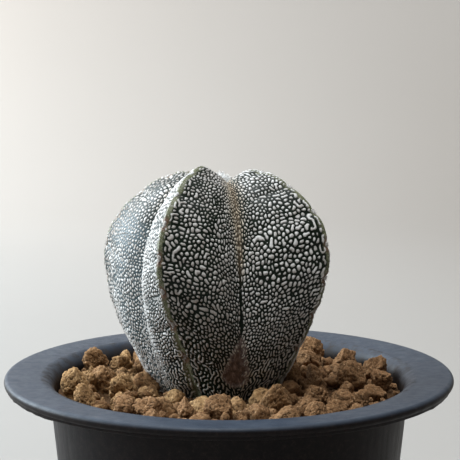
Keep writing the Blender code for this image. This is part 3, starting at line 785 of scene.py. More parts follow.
def raised_cells(field, point, normal, height, extras):
    """Faces over the part of a grid where field is above 0, with the edge sunk into the skin."""
    rows, columns = field.shape
    inside = field > 0.0
    index = np.cumsum(inside.ravel()).reshape(field.shape) - 1
    points = [(point + normal * height[..., None])[inside]]
    values = [[extra[inside]] for extra in extras]
    base = point - normal * FLECK_SUNK
    count = int(inside.sum())
    edges = []
    for along in ((0, 1), (1, 0)):
        a = (slice(0, rows - along[0]), slice(0, columns - along[1]))
        b = (slice(along[0], rows), slice(along[1], columns))
        crossing = inside[a] != inside[b]
        gap = np.where(crossing, field[a] - field[b], 1.0)
        share = np.clip(field[a] / gap, 0.14, 0.86)[crossing]
        points.append(base[a][crossing] * (1.0 - share[:, None]) + base[b][crossing] * share[:, None])
        for item, extra in zip(values, extras):
            item.append(np.minimum(extra[a], extra[b])[crossing])
        numbers = np.full(crossing.shape, -1)
        numbers[crossing] = count + np.arange(int(crossing.sum()))
        count += int(crossing.sum())
        edges.append(numbers)
    flat, upright = edges
    corners = [index[:-1, :-1], index[:-1, 1:], index[1:, 1:], index[1:, :-1]]
    sides = [flat[:-1, :], upright[:, 1:], flat[1:, :], upright[:, :-1]]
    every = np.stack(corners + sides, -1)
    case = sum(
        inside[part].astype(int) << bit
        for bit, part in enumerate((
            (slice(0, -1), slice(0, -1)), (slice(0, -1), slice(1, None)),
            (slice(1, None), slice(1, None)), (slice(1, None), slice(0, -1)),
        ))
    )
    faces = {3: [], 4: [], 5: []}
    for number, polygons in CELL_FACES.items():
        cells = every[case == number]
        for polygon in polygons:
            faces[len(polygon)].append(cells[:, list(polygon)])
    merged = [np.concatenate(faces[size]) for size in (3, 4, 5)]
    return np.concatenate(points), merged, [np.concatenate(item) for item in values]


def fleck_material():
    paint = Paint("white_flecks", 0.85)
    paint.shader.inputs["Specular IOR Level"].default_value = 0.25
    paint.shader.inputs["Sheen Weight"].default_value = 0.3
    paint.shader.inputs["Sheen Roughness"].default_value = 0.4
    tan, tone = paint.attribute("tan"), paint.attribute("tone")
    speck = paint.noise(0.8, 2.0)
    white = paint.ramp(speck, (0.3, (0.60, 0.58, 0.56)), (0.65, (0.86, 0.85, 0.84)))
    # Greyer flecks: at random, by the scar and low down, and painted shade on the shaded flanks.
    color = paint.mix(tone, white, (0.36, 0.32, 0.29))
    buff = paint.ramp(paint.noise(0.5, 3.0), (0.3, (0.40, 0.325, 0.230)), (0.7, (0.68, 0.580, 0.440)))
    color = paint.mix(tan, color, buff)
    fuzz = paint.noise(0.07, 3.0, 0.7)
    # Darker towards each fleck's edge: partly its thinner edge showing the skin, partly painted shade.
    thin_edge_and_shade = paint.fade(paint.attribute("middle"), 0.0, 0.9, 0.7, 0.0)
    color = paint.mix(thin_edge_and_shade, color, (0.20, 0.19, 0.17))
    color = paint.mix(paint.fade(fuzz, 0.42, 0.3, 0.0, 0.3), color, (0.25, 0.24, 0.22))
    return paint.done(color, None, paint.bump(fuzz, 0.05))


def fleck_limit(rib, side, across, position, distances, ragged):
    """Below 0 on the bare crest and groove, on the scar, at the areoles and beyond the flank's edges."""
    crest, groove, scar = distances
    areole = areole_distance(rib, position, crest)
    over = np.where(across < 0.0, across * 40.0, np.where(across > 1.0, (1.0 - across) * 40.0, 9.0))
    height = smooth_value(position, 3)
    bare = BARE_GROOVE * smoothstep(27.0, 22.0, height) * smoothstep(6.0, 12.0, height)
    bare = GROOVE_MARGIN + bare * (groove_beside(rib, side) == FRONT_GROOVE)
    margin = CREST_MARGINS[rib][side > 0] * (smoothstep(3.0, 4.4, position) if rib == RIGHT_RIB else 1.0)
    return np.minimum.reduce([
        (crest - margin - 1.6 * ragged) * 2.5, (groove - bare - ragged * (bare > 0.2)) * 4.0, over,
        (-scar + 0.12 - 2.2 * ragged) * 2.5, (areole - AREOLE_RING - ragged) * 2.5,
    ])


def fleck_tones(rib, side, position, distances, rng):
    """Tan and grey in the flecks' colour: tan by the wool and low down; grey low down, by the scar, and as
    painted shade on the shaded flanks.
    """
    crest, groove, scar = distances
    low = 1.0 - smoothstep(1.0, 9.0, smooth_value(position, 1))
    near_scar = smoothstep(-1.6, -0.2, scar)
    tan = np.clip(groove_wool(rib, side, position, groove, FLECK_WOOL_REACH) + 0.3 * low, 0.0, 1.0)
    tan = np.maximum(tan, 0.35 * near_scar)
    tone = 0.2 + 0.3 * soft_noise(position.shape, PER_WAVE, rng) + 0.35 * near_scar + 0.7 * low
    if (rib, side) in ((FRONT_RIB, 1), (RIGHT_RIB, -1)):  # Painted shade: the shaded front's flecks are greyer towards its foot.
        tone += 0.45 * (1.0 - smoothstep(2.0, 34.0, smooth_value(position, 3)))
    if rib == LEFT_RIB:  # Painted shade: the left-hand rib's flecks are greyer along its crest and under the painted sheen.
        tone += 0.22 * painted_sheen_share(rib, side, position) + 0.55 * (1.0 - smoothstep(1.0, 8.0, crest))
    # Painted shade: the front rib's flecks after its crest are greyer all over.
    if (rib, side) == (FRONT_RIB, 1):
        tone += 0.34
    return tan, np.clip(tone, 0.0, 1.0)


def flank_flecks(rib, side, rng):
    """Points, faces and colour values of the flecks on one flank."""
    rows, columns = chart_size(rib, side)
    drift = DRIFT * soft_noise((2, rows, columns), 2.6 * PER_WAVE, rng)
    across, position = flank_chart(rib, side, rows, columns, drift)
    wander = soft_noise((rows, columns), 2.8 * PER_WAVE, rng)
    worms = worm_share(rib, side, across, position, wander)
    bias = SPOT_BIAS + (WORM_BIAS - SPOT_BIAS) * worms
    field = fill_holes(grow_pattern(bias, worms, streak_push(rib, side, across, position, wander), rng))
    gap = SPOT_GAP + (WORM_GAP - SPOT_GAP) * worms + 0.03 * wander
    gap -= GAP_CUTS[rib][side > 0] * (1.0 - smoothstep(30.0, 35.0, smooth_value(position, 1)))
    reached = (field + SPOT_SPREAD - (SPOT_SPREAD + WORM_THINNING) * worms) * 0.6
    field = np.minimum(swell(field, gap), reached)
    point, *distances = skin_point(rib, side, np.clip(across, 0.0, 1.0), position)
    ragged = RAGGEDNESS * soft_noise((rows, columns), 0.9 * PER_WAVE, rng)
    field = np.minimum(field, fleck_limit(rib, side, across, position, distances, ragged))
    field[0], field[-1], field[:, 0], field[:, -1] = -1.0, -1.0, -1.0, -1.0
    lift = FLECK_HEIGHT * (1.0 - np.exp(-np.maximum(field, 0.0) / FLECK_EDGE))
    tan, tone = fleck_tones(rib, side, position, distances, rng)
    middle = np.clip(field / 0.7, 0.0, 1.0)
    points, faces, values = raised_cells(field, point, surface_normals(point), lift, (tan, tone, middle))
    if side > 0:
        faces = [f[:, ::-1] for f in faces]
    return points, faces, values


def build_flecks(material):
    """The flecks of each rib as one piece, both flanks joined."""
    rng = np.random.default_rng(PATTERN_SEED)
    for rib in range(len(RIBS)):
        first, second = flank_flecks(rib, -1, rng), flank_flecks(rib, 1, rng)
        points = np.concatenate([first[0], second[0]]) + PLANT_BASE
        faces = [np.concatenate([a, b + len(first[0])]) for a, b in zip(first[1], second[1])]
        values = [np.concatenate(pair) for pair in zip(first[2], second[2])]
        colors = dict(zip(("tan", "tone", "middle"), values))
        flecks = make_mesh(f"flecks_{rib + 1}", points, faces, material, **colors)
        finish_piece(flecks, "cactus_body")


# Wool
WOOL_SEED = 21
NO_QUADS = np.zeros((0, 4), int)
HAIR_LEVELS = ((0.0, 1.0), (0.45, 0.85), (0.8, 0.55))  # share of the length, and of the radius there
HAIR_POINTS = 3 * len(HAIR_LEVELS) + 1
TUFT_SIZE = np.array((1.6, 1.6, 2.1))
TUFT_SEAT = np.array((0.15, -0.3, STATIONS[0][1] + 1.2))
TUFT_HAIRS = 420
PAD_HALF_WIDTHS = (0.30, 0.42)
PAD_HALF_LENGTHS = (0.50, 0.72)
PAD_DEPTH = 0.26
PAD_SINK = 0.16
PAD_HAIRS = 34
# Hairs, first and last section, and how closely the hairs gather near the crown
FRONT_WOOL = (230, 0.7, 6.4, 2.2)
OTHER_WOOL = (120, 1.4, 3.6, 1.3)
# Range of lengths, range of radii, and curl of the hairs
TUFT_HAIR_FORM = ((0.5, 1.1), (0.035, 0.06), 0.7)
PAD_HAIR_FORM = ((0.2, 0.42), (0.018, 0.03), 0.5)
GROOVE_HAIR_FORM = ((0.3, 0.7), (0.02, 0.035), 0.6)


def hair_net(roots, directions, length_range, radius_range, curl, rng):
    """Points, triangles and quads of thin three-sided tapering hairs, each bent a little."""
    count = len(roots)
    lengths, radii = rng.uniform(*length_range, count), rng.uniform(*radius_range, count)
    directions = unit(directions)
    first = unit(np.cross(directions, rng.standard_normal((count, 3))))
    second = np.cross(directions, first)
    bend = rng.uniform(-curl, curl, (count, 2))
    sideways = first * bend[:, :1] + second * bend[:, 1:]
    points = []
    for share, thick in HAIR_LEVELS:
        middle = roots + directions * (lengths * share)[:, None] + sideways * (lengths * share ** 2)[:, None]
        for corner in range(3):
            angle = 2.0 * math.pi * corner / 3.0
            around = first * math.cos(angle) + second * math.sin(angle)
            points.append(middle + around * (radii * thick)[:, None])
    points.append(roots + directions * lengths[:, None] + sideways * lengths[:, None])
    base = np.arange(count)[:, None] * HAIR_POINTS
    sides = [(corner, (corner + 1) % 3) for corner in range(3)]
    rings = [(a + up, b + up) for up in (0, 3) for a, b in sides]
    quads = [base + np.array([[a, b, b + 3, a + 3]]) for a, b in rings]
    tris = [base + np.array([[6 + a, 6 + b, 9]]) for a, b in sides] + [base + np.array([[2, 1, 0]])]
    return np.stack(points, 1).reshape(-1, 3), np.concatenate(tris), np.concatenate(quads)


def join_nets(nets):
    """Joins (points, triangles, quads, value) nets into one."""
    points, tris, quads, values, count = [], [], [], [], 0
    for p, t, q, v in nets:
        points.append(p)
        tris.append(np.asarray(t, int).reshape(-1, 3) + count)
        quads.append(np.asarray(q, int).reshape(-1, 4) + count)
        values.append(np.full(len(p), v) if np.isscalar(v) else v)
        count += len(p)
    return np.concatenate(points), [np.concatenate(tris), np.concatenate(quads)], np.concatenate(values)


def ball_net(level):
    """Points and triangles of a ball of radius 1."""
    bm = bmesh.new()
    bmesh.ops.create_icosphere(bm, subdivisions=level, radius=1.0)
    points = np.array([v.co for v in bm.verts])
    faces = np.array([[v.index for v in f.verts] for f in bm.faces])
    bm.free()
    return points, faces


def wool_material():
    paint = Paint("wool", 0.95)
    paint.shader.inputs["Sheen Weight"].default_value = 0.5
    paint.shader.inputs["Specular IOR Level"].default_value = 0.2
    age = paint.attribute("age")
    strand = paint.noise(0.25, 4.0, 0.7, 0.5)
    young = paint.ramp(strand, (0.3, (0.80, 0.80, 0.79)), (0.7, (0.95, 0.95, 0.95)))
    old = paint.ramp(strand, (0.3, (0.070, 0.048, 0.030)), (0.7, (0.25, 0.190, 0.130)))
    return paint.done(paint.mix(age, young, old), None, paint.bump(strand, 0.08))


def finish_wool(name, nets, material, node):
    points, faces, age = join_nets(nets)
    finish_piece(make_mesh(name, points + PLANT_BASE, faces, material, age=age), node)


def build_crown_tuft(material, rng):
    """A lumpy ball at the growing point, with hairs all over its upper side."""
    ball, ball_faces = ball_net(4)
    lumpy = np.array([1.0 + 0.22 * noise.fractal(Vector(p) * 2.2, 0.8, 2.0, 4) for p in ball])
    nets = [(ball * lumpy[:, None] * TUFT_SIZE + TUFT_SEAT, ball_faces, NO_QUADS, 0.05)]
    away = rng.standard_normal((TUFT_HAIRS, 3))
    away[:, 2] = np.abs(away[:, 2]) * 0.9
    away = unit(away)
    lean = away + 0.5 * rng.standard_normal((TUFT_HAIRS, 3))
    hairs = hair_net(away * TUFT_SIZE * 0.92 + TUFT_SEAT, lean, *TUFT_HAIR_FORM, rng)
    nets.append((*hairs, np.repeat(rng.uniform(0.0, 0.15, TUFT_HAIRS), HAIR_POINTS)))
    finish_wool("crown_wool_tuft", nets, material, "crown_wool")


def areole_nets(pad, pad_faces, rib, number, station, rng):
    """A woolly pad and its short hairs at one areole, browner on the older ones lower down."""
    here = crest_point(rib, station)
    along = unit(crest_point(rib, station + 0.15) - crest_point(rib, station - 0.15))
    outward = here - BODY_MIDDLE
    outward = unit(outward - along * np.dot(outward, along))
    sideways = np.cross(along, outward)
    wide, long = rng.uniform(*PAD_HALF_WIDTHS), rng.uniform(*PAD_HALF_LENGTHS)
    age = float(np.clip(0.15 + 0.11 * number + rng.uniform(-0.15, 0.15), 0.0, 0.8))
    place = Vector((number * 3.1, rib * 5.3, 0.0))
    uneven = np.array([1.0 + 0.3 * noise.noise(Vector(p) * 2.0 + place) for p in pad])
    shape = pad * uneven[:, None]
    middle = here - outward * PAD_SINK
    blob = middle + shape[:, :1] * sideways * wide + shape[:, 1:2] * along * long
    blob = blob + shape[:, 2:] * outward * PAD_DEPTH
    spread = rng.uniform(-1.0, 1.0, (PAD_HAIRS, 2))
    roots = middle + spread[:, :1] * sideways * wide * 0.75 + spread[:, 1:] * along * long * 0.75
    roots = roots + outward * 0.12
    lean = outward + 0.7 * spread[:, :1] * sideways + 0.7 * spread[:, 1:] * along
    lean = lean + 0.25 * rng.standard_normal((PAD_HAIRS, 3))
    hairs = hair_net(roots, lean, *PAD_HAIR_FORM, rng)
    hair_age = np.clip(age + rng.uniform(-0.2, 0.2, PAD_HAIRS), 0.0, 1.0)
    return [(blob, pad_faces, NO_QUADS, age), (*hairs, np.repeat(hair_age, HAIR_POINTS))]


def groove_net(groove, rng):
    """Wool in one groove near the crown, white by the growing point."""
    count, high, low, gather = FRONT_WOOL if groove == FRONT_GROOVE else OTHER_WOOL
    station = high + (low - high) * rng.uniform(0.0, 1.0, count) ** gather
    here = groove_point(groove, station)
    ahead = unit(groove_point(groove, station + 0.1) - here)
    outward = here - BODY_MIDDLE
    outward = unit(outward - ahead * np.sum(outward * ahead, 1, keepdims=True))
    sideways = np.cross(ahead, outward)
    offset = rng.normal(0.0, 0.28, (count, 1))
    roots = here + sideways * offset + outward * (0.6 + 0.35 * np.abs(offset))
    lean = outward + 1.3 * sideways * rng.uniform(-1.0, 1.0, (count, 1))
    lean = lean + ahead * rng.uniform(-0.9, 0.9, (count, 1))
    hairs = hair_net(roots, lean, *GROOVE_HAIR_FORM, rng)
    age = rng.uniform(0.05, 0.55, count) * smoothstep(1.6, 3.2, station)
    return (*hairs, np.repeat(age, HAIR_POINTS))


def build_wool(material):
    """Crown tuft, areole pads and the wool of the grooves."""
    rng = np.random.default_rng(WOOL_SEED)
    build_crown_tuft(material, rng)
    pad = ball_net(3)
    nets = []
    for rib in range(len(RIBS)):
        for number, station in enumerate(areole_stations(rib)):
            nets += areole_nets(*pad, rib, number, station, rng)
    finish_wool("areole_wool", nets, material, "cactus_body")
    nets = [groove_net(groove, rng) for groove in range(len(GROOVES))]
    finish_wool("groove_wool", nets, material, "cactus_body")


# Substrate
RUBBLE_SEED = 33
CRUMBS = 450
PLANT_FOOT_RADIUS = 12.6
BED_STEPS = 220
BED_RINGS = 46
BED_GAP = 0.25  # from the plant's foot to the bed
BED_STATION = 10.35  # the section where the bed meets the plant
BED_LOW, BED_HIGH = -1.1, 1.7  # lowest and highest place of its lumpy top, from the fill's level
CUT_COUNTS = (8, 15)  # planes that cut a lump: at least the first number, and fewer than the second
CUT_DEPTHS = (0.62, 1.04)  # distance of the planes from a lump's middle, in radii
EDGE_SHARPNESS = 22  # of the edges between a lump's cut faces
UNCUT_REACH = 1.12
SQUASHES = ((0.95, 1.16), (0.82, 1.04), (0.78, 0.98))
# Strength in millimetres of a lump's surface forms; lumps smaller than FULL_RELIEF_RADIUS have less of it
BROAD_RELIEF = 0.28
FINE_RELIEF = 0.26
CRACK_DEPTH = 0.22
PIT_DEPTH = 0.20
FULL_RELIEF_RADIUS = 2.2
# Two hollows in the grains, in front of the plant's foot and at the right-hand back: middle, widths, depth
HOLLOWS = ((-9.0, -17.0, 8.5, 4.5, 1.7), (27.5, 14.0, 5.0, 8.0, 1.0))


def wall_radius(z):
    """Outside radius of the pot's tapered wall at a height."""
    return FOOT_RADIUS + (WALL_TOP_RADIUS - FOOT_RADIUS) * z / POT_HEIGHT


def grain_list():
    """Every loose grain as (centre, radius), by the same seeded rule as the part's own."""
    rng = random.Random(GRAIN_SEED)
    fill_z = FILL_Z * MM
    wall = (wall_radius(FILL_Z) - WALL - CLEARANCE - 0.15) * MM
    grains = []
    for x, y, depth, radius in LARGE_GRAINS:
        grains.append((Vector((x * MM, y * MM, (POT_HEIGHT - depth) * MM)), radius * MM))
    supports = []
    for center, radius in grains:
        supports.append((Vector((center.x, center.y, fill_z + SUPPORT_RISE * MM)), SUPPORT_SHARE * radius))
    reach = float(smooth_value(SOIL_STATION - 1.0, 0)) * MM
    for _ in range(GRAIN_TRIES):
        radius = rng.uniform(GRAIN_RADII[0] * MM, GRAIN_RADII[1] * MM)
        distance = (wall - radius) * math.sqrt(rng.random())
        angle = rng.uniform(0.0, 2.0 * math.pi)
        x, y = distance * math.cos(angle), distance * math.sin(angle)
        z = fill_z + rng.uniform(GRAIN_RISE[0] * MM, GRAIN_RISE[1] * MM)
        clear = all(
            math.hypot(x - other.x, y - other.y) > GRAIN_SPACING * (radius + size) for other, size in grains
        )
        if clear and math.hypot(x - PLANT_X * MM, y - PLANT_Y * MM) > reach + 0.45 * radius:
            grains.append((Vector((x, y, z)), radius))
    return [(np.array(center) / MM, radius / MM) for center, radius in grains + supports]


def crumb_net(net, center, radius, rng):
    """A lump of hard clay cut by random planes, cracked and pitted, and how much painted shade each point
    gets in the cracks and pits.
    """
    ball, faces = net
    planes = rng.standard_normal((rng.integers(*CUT_COUNTS), 3))
    planes = unit(planes)
    depth = rng.uniform(*CUT_DEPTHS, len(planes))
    cut = np.maximum(ball @ planes.T, 0.0) / depth
    blend = np.sum(cut ** EDGE_SHARPNESS, 1) ** (1.0 / EDGE_SHARPNESS)
    reach = radius / np.maximum(blend, 1.0 / UNCUT_REACH)
    offset = Vector(rng.uniform(-50.0, 50.0, 3))
    rise, hollow = np.empty(len(ball)), np.empty(len(ball))
    for i, p in enumerate(ball):
        v = Vector(p) * radius + offset
        clods = noise.voronoi(v * 0.8)[0]
        crack = max(0.0, 1.0 - (clods[1] - clods[0]) / 0.30)
        pit = max(0.0, 1.0 - noise.voronoi(v * 1.5 + offset)[0][0] / 0.45)
        fine = noise.noise(v * 2.3) + 0.6 * noise.noise(v * 4.7)
        rise[i] = BROAD_RELIEF * noise.noise(v * 0.5) + FINE_RELIEF * fine
        rise[i] = rise[i] - CRACK_DEPTH * crack - PIT_DEPTH * pit
        # Painted shade: darker in cracks and pits, lighter on the fine bumps.
        hollow[i] = 0.6 * crack + 0.5 * pit - 0.8 * fine
    squash = np.array([rng.uniform(*span) for span in SQUASHES])
    turn = np.array(Euler(rng.uniform(0.0, 2.0 * math.pi, 3)).to_matrix())
    reach = reach + rise * min(1.0, radius / FULL_RELIEF_RADIUS)
    return (ball * reach[:, None] * squash) @ turn.T + center, faces, np.clip(hollow, 0.0, 1.0)


def grain_material():
    paint = Paint("tan_clay_grain", 0.96)
    paint.shader.inputs["Specular IOR Level"].default_value = 0.12
    tone, hollow = paint.attribute("tone"), paint.attribute("hollow")
    broad = paint.noise(2.4, 4.0, 0.6)
    fine = paint.noise(0.38, 6.0, 0.72)
    pores = paint.cells(0.6)
    light = paint.ramp(
        broad, (0.28, (0.30, 0.166, 0.072)), (0.52, (0.49, 0.297, 0.134)), (0.75, (0.70, 0.458, 0.232))
    )
    dark = paint.ramp(broad, (0.3, (0.200, 0.103, 0.046)), (0.7, (0.370, 0.206, 0.100)))
    # Lighter and darker clay, mixed by each grain's random darkness and its painted shade.
    color = paint.mix(tone, light, dark)
    color = paint.mix(paint.fade(fine, 0.50, 0.34, 0.0, 0.4), color, (0.150, 0.072, 0.034))
    color = paint.mix(paint.fade(fine, 0.54, 0.70, 0.0, 0.6), color, (0.80, 0.56, 0.34))
    holes = paint.fade(pores, 0.34, 0.10)
    # Painted shade in the pores.
    color = paint.mix(paint.sum("MULTIPLY", holes, 0.2), color, (0.100, 0.050, 0.024))
    # Painted shade in the cracks and pits.
    color = paint.mix(paint.fade(hollow, 0.2, 1.0, 0.0, 0.85), color, (0.060, 0.031, 0.015))
    rough = paint.ramp(fine, (0.3, (0.99,) * 3), (0.7, (0.88,) * 3))
    height = paint.sum("SUBTRACT", fine, paint.sum("MULTIPLY", holes, 0.5))
    return paint.done(color, rough, paint.bump(height, 0.6))


def toned(net, tone):
    """A grain's net with its random darkness and painted shade, and the painted shade of its cracks and pits
    at each point.
    """
    points, faces, hollow = net
    return points, faces, NO_QUADS, np.stack([np.full(len(hollow), tone), hollow], 1)


def lowered(center):
    """A grain's centre, lower in the two hollows."""
    sunk = sum(
        depth * math.exp(-((center[0] - x) / wide) ** 2 - ((center[1] - y) / long) ** 2)
        for x, y, wide, long, depth in HOLLOWS
    )
    return np.array(center) - (0.0, 0.0, sunk)


def shaded(tone, center):
    """A grain's random darkness with painted shade added: darker to the right, in the plant's shadow, and at
    the front.
    """
    return min(1.0, tone + 0.044 * max(0.0, center[0]) + 0.09 * max(0.0, -center[1] - 15.0))


def crumb_places(grains, rng):
    """Centre and radius of the small crumbs between the grains."""
    edge = wall_radius(FILL_Z) - WALL - CLEARANCE
    placed = 0
    while placed < CRUMBS:
        radius = 0.55 + 1.15 * rng.random() ** 2.0
        distance = (edge - radius * 0.9) * math.sqrt(rng.random())
        angle = rng.uniform(0.0, 2.0 * math.pi)
        x, y = distance * math.cos(angle), distance * math.sin(angle)
        if math.hypot(x - PLANT_X, y - PLANT_Y) < PLANT_FOOT_RADIUS + radius:
            continue
        place = (x, y, FILL_Z + rng.uniform(0.2, 1.7))
        if any(math.dist(place, tuple(center)) < size * 0.85 for center, size in grains):
            continue
        yield place, radius
        placed += 1


def build_substrate(material):
    """Large lumps and their supports, loose grains, the crumbs between them, and the bed under all."""
    rng = np.random.default_rng(RUBBLE_SEED)
    nets = {level: ball_net(level) for level in (3, 4, 5)}
    groups = {"substrate_lumps": [], "substrate_grains": [], "substrate_crumbs": []}
    grains = grain_list()
    large = len(LARGE_GRAINS)
    for i, (center, radius) in enumerate(grains):
        is_large, support = i < large, i >= len(grains) - large
        level = 5 if is_large else 4
        level = 3 if support else level
        net = crumb_net(nets[level], lowered(center), radius * (0.95 if support else 1.0), rng)
        tone = shaded(rng.uniform(0.0, 1.0) ** 1.6, center)
        groups["substrate_lumps" if is_large or support else "substrate_grains"].append(toned(net, tone))
    for place, radius in crumb_places(grains, rng):
        net = crumb_net(nets[3], lowered(place), radius, rng)
        groups["substrate_crumbs"].append(toned(net, shaded(rng.uniform(0.1, 1.0), place)))
    for name, group in groups.items():
        points, faces, value = join_nets(group)
        lumps = make_mesh(name, points, faces, material, tone=value[:, 0], hollow=value[:, 1])
        finish_piece(lumps, "substrate")
    build_bed(material)


def foot_outline(angle):
    """Distance from the plant's axis to its skin at the bed, in each direction."""
    across = np.linspace(0.0, 1.0, 20)
    station = np.full(across.shape, BED_STATION)
    sides = [skin_point(rib, side, across, station)[0] for rib in range(len(RIBS)) for side in (-1, 1)]
    outline = np.concatenate(sides)[:, :2]
    bearing = np.arctan2(outline[:, 1], outline[:, 0])
    order = np.argsort(bearing)
    radius = np.linalg.norm(outline, axis=1)
    return np.interp(angle, bearing[order], radius[order], period=2.0 * math.pi)


def build_bed(material):
    """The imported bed: a lumpy top round the plant, with its sides and underside inside the pot."""
    angle = np.linspace(0.0, 2.0 * math.pi, BED_STEPS, endpoint=False)
    floor_z = FOOT_HEIGHT + FLOOR + CLEARANCE
    edge = wall_radius(FILL_Z) - WALL - CLEARANCE
    inner = foot_outline(angle) + BED_GAP
    # From the plant's axis out to the pot's wall
    cx, cy = np.cos(angle), np.sin(angle)
    along = PLANT_X * cx + PLANT_Y * cy
    outer = -along + np.sqrt(along ** 2 + edge ** 2 - PLANT_X * PLANT_X - PLANT_Y * PLANT_Y)
    radius = inner[None] + (outer - inner)[None] * np.linspace(0.0, 1.0, BED_RINGS)[:, None]
    x, y = PLANT_X + radius * cx, PLANT_Y + radius * cy
    z = np.empty(x.shape)
    for i, j in np.ndindex(z.shape):
        v = Vector((x[i, j], y[i, j], 0.0))
        near = noise.voronoi(v * 0.36)[0][0]
        rubble = noise.voronoi(v * 0.95)[0][0]
        z[i, j] = 1.3 * (0.55 - near) + 0.95 * (0.45 - rubble) + 0.5 * noise.fractal(v * 1.7, 0.6, 2.0, 4)
    top = np.stack([x, y, FILL_Z + np.clip(z, BED_LOW, BED_HIGH)], -1)
    low_wall = wall_radius(floor_z) - WALL - CLEARANCE - FLOOR_CORNER
    flat = np.full(BED_STEPS, floor_z)
    low = np.stack([low_wall * cx, low_wall * cy, flat], -1)
    hole = np.stack([PLANT_X + inner * 0.5 * cx, PLANT_Y + inner * 0.5 * cy, flat], -1)
    grid = np.concatenate([top, low[None], hole[None]])
    quads = band_quads(len(grid), BED_STEPS, closed=True)
    same = np.ones(len(grid) * BED_STEPS)
    # Painted shade: the bed, lying between the grains, gets the darkest clay and strong painted shade.
    bed = make_mesh("substrate_bed", grid.reshape(-1, 3), [quads], material, tone=same, hollow=0.85 * same)
    finish_piece(bed, "substrate")


# Pot
POT_STEPS = 176
LIP_EDGE = 0.12
FLANGE_DROOP = 0.30
DROOP_AZIMUTH = 125.0
RAGGED_AZIMUTH = 196.0  # where the moulding lip is most ragged
RAGGED_SPAN = 24.0
RAGGED_FALL = 0.75
RAGGED_REACH = 0.22
THROAT_POINTS = 13
INSIDE_POINTS = 22  # the profile's last points, on the inside of the wall and on the throat


def arc(center_r, center_z, radius, start, end, count):
    """Points of an arc in the profile plane, as (radius, height)."""
    points = []
    for i in range(count):
        angle = math.radians(start + (end - start) * i / (count - 1))
        points.append((center_r + radius * math.cos(angle), center_z + radius * math.sin(angle)))
    return points


def pot_profile():
    """The part's cross-section with rounder edges: down the outside, under the foot, up the inside."""
    under_z = POT_HEIGHT - UNDERSIDE
    floor_z = FOOT_HEIGHT + FLOOR
    fillet_z = under_z - UNDERSIDE_FALL - FILLET
    throat_z = POT_HEIGHT - THROAT_FOOT
    inner_radius = wall_radius(throat_z) - WALL
    throat = []
    for i in range(THROAT_POINTS):
        along = math.radians(90.0 * i / (THROAT_POINTS - 1))
        throat.append((
            inner_radius + (THROAT_RADIUS - inner_radius) * (1.0 - math.cos(along)),
            throat_z + (THROAT_FOOT - THROAT_DEPTH) * math.sin(along),
        ))
    edge = LIP_EDGE
    lip_z = under_z - LIP_THICKNESS
    corner_z = floor_z + FLOOR_CORNER
    outer_wall = [(wall_radius(z), z) for z in np.linspace(fillet_z - 0.5, FOOT_EDGE + 0.4, 22)]
    inner_wall = [(wall_radius(z) - WALL, z) for z in np.linspace(8.0, throat_z - 3.0, 8)]
    return [
        *arc(RIM_RADIUS - ROLL_RADIUS, POT_HEIGHT - ROLL_RADIUS, ROLL_RADIUS, 90, -60, 16),
        (LIP_RADIUS, under_z),
        (LIP_RADIUS + 0.02, lip_z + edge),
        *arc(LIP_RADIUS - edge, lip_z + edge, edge, -15, -90, 3),
        (LIP_RADIUS - LIP_WIDTH + edge, lip_z),
        *arc(LIP_RADIUS - LIP_WIDTH + edge, lip_z + edge, edge, -90, -180, 3)[1:],
        (LIP_RADIUS - 1.25 * LIP_WIDTH, under_z - 0.12),
        (LIP_RADIUS - 2.0 * LIP_WIDTH, under_z),
        (wall_radius(fillet_z) + FILLET + 2.4, under_z - 0.6 * UNDERSIDE_FALL),
        *arc(wall_radius(fillet_z) + FILLET, fillet_z, FILLET, 90, 180, 9),
        *outer_wall,
        (wall_radius(FOOT_EDGE), FOOT_EDGE),
        *arc(FOOT_RADIUS - FOOT_EDGE, FOOT_EDGE, FOOT_EDGE, -10, -90, 5),
        (FOOT_RADIUS - FOOT_WIDTH + 0.2, 0.0),
        (FOOT_RADIUS - FOOT_WIDTH, 0.15),
        (FOOT_RADIUS - FOOT_WIDTH - FOOT_EDGE / 2.0, FOOT_HEIGHT),
        (DRAIN_RADIUS + 0.25, FOOT_HEIGHT),
        (DRAIN_RADIUS, FOOT_HEIGHT + 0.2),
        (DRAIN_RADIUS, floor_z - 0.2),
        (DRAIN_RADIUS + 0.25, floor_z),
        (wall_radius(floor_z) - WALL - FLOOR_CORNER, floor_z),
        *arc(wall_radius(corner_z) - WALL - FLOOR_CORNER, corner_z, FLOOR_CORNER, -70, 0, 4),
        *inner_wall,
        *throat,
    ]


def pot_material():
    paint = Paint("dark_pot_plastic", 0.45)
    paint.shader.inputs["Specular IOR Level"].default_value = 0.12
    cloud = paint.noise(14.0, 3.0)
    grain = paint.noise(0.28, 4.0, 0.6)
    drawn = paint.noise(1.6, 3.0, 0.6, stretch=(1.0, 1.0, 0.12))
    color = paint.ramp(cloud, (0.3, (0.0042, 0.0030, 0.0033)), (0.7, (0.0070, 0.0050, 0.0054)))
    dusty = paint.fade(paint.noise(1.1, 6.0, 0.75), 0.42, 0.80)
    dust = paint.sum("MULTIPLY", dusty, paint.fade(grain, 0.4, 0.7, 0.1, 0.5))
    color = paint.mix(dust, color, (0.066, 0.042, 0.035))
    # Painted reflection: upward faces get a mottled pale bluish sheen.
    upward = paint.fade(paint.facing_up(), 0.1, 0.95, 0.0, 0.75)
    blotch = paint.noise(4.0, 6.0, 0.68)
    painted_sheen = paint.ramp(blotch, (0.3, (0.027, 0.037, 0.055)), (0.7, (0.052, 0.066, 0.089)))
    color = paint.mix(upward, color, painted_sheen)
    inside = paint.attribute("inside")
    soiled = paint.sum("MULTIPLY", inside, paint.fade(paint.noise(2.2, 5.0, 0.7), 0.42, 0.7, 0.0, 0.7))
    color = paint.mix(soiled, color, (0.034, 0.026, 0.020))
    rough = paint.ramp(drawn, (0.3, (0.38,) * 3), (0.7, (0.52,) * 3))
    rough = paint.mix(soiled, rough, (0.85,) * 3)
    height = paint.sum("ADD", grain, paint.sum("MULTIPLY", drawn, 0.6))
    return paint.done(color, rough, paint.bump(height, 0.03))


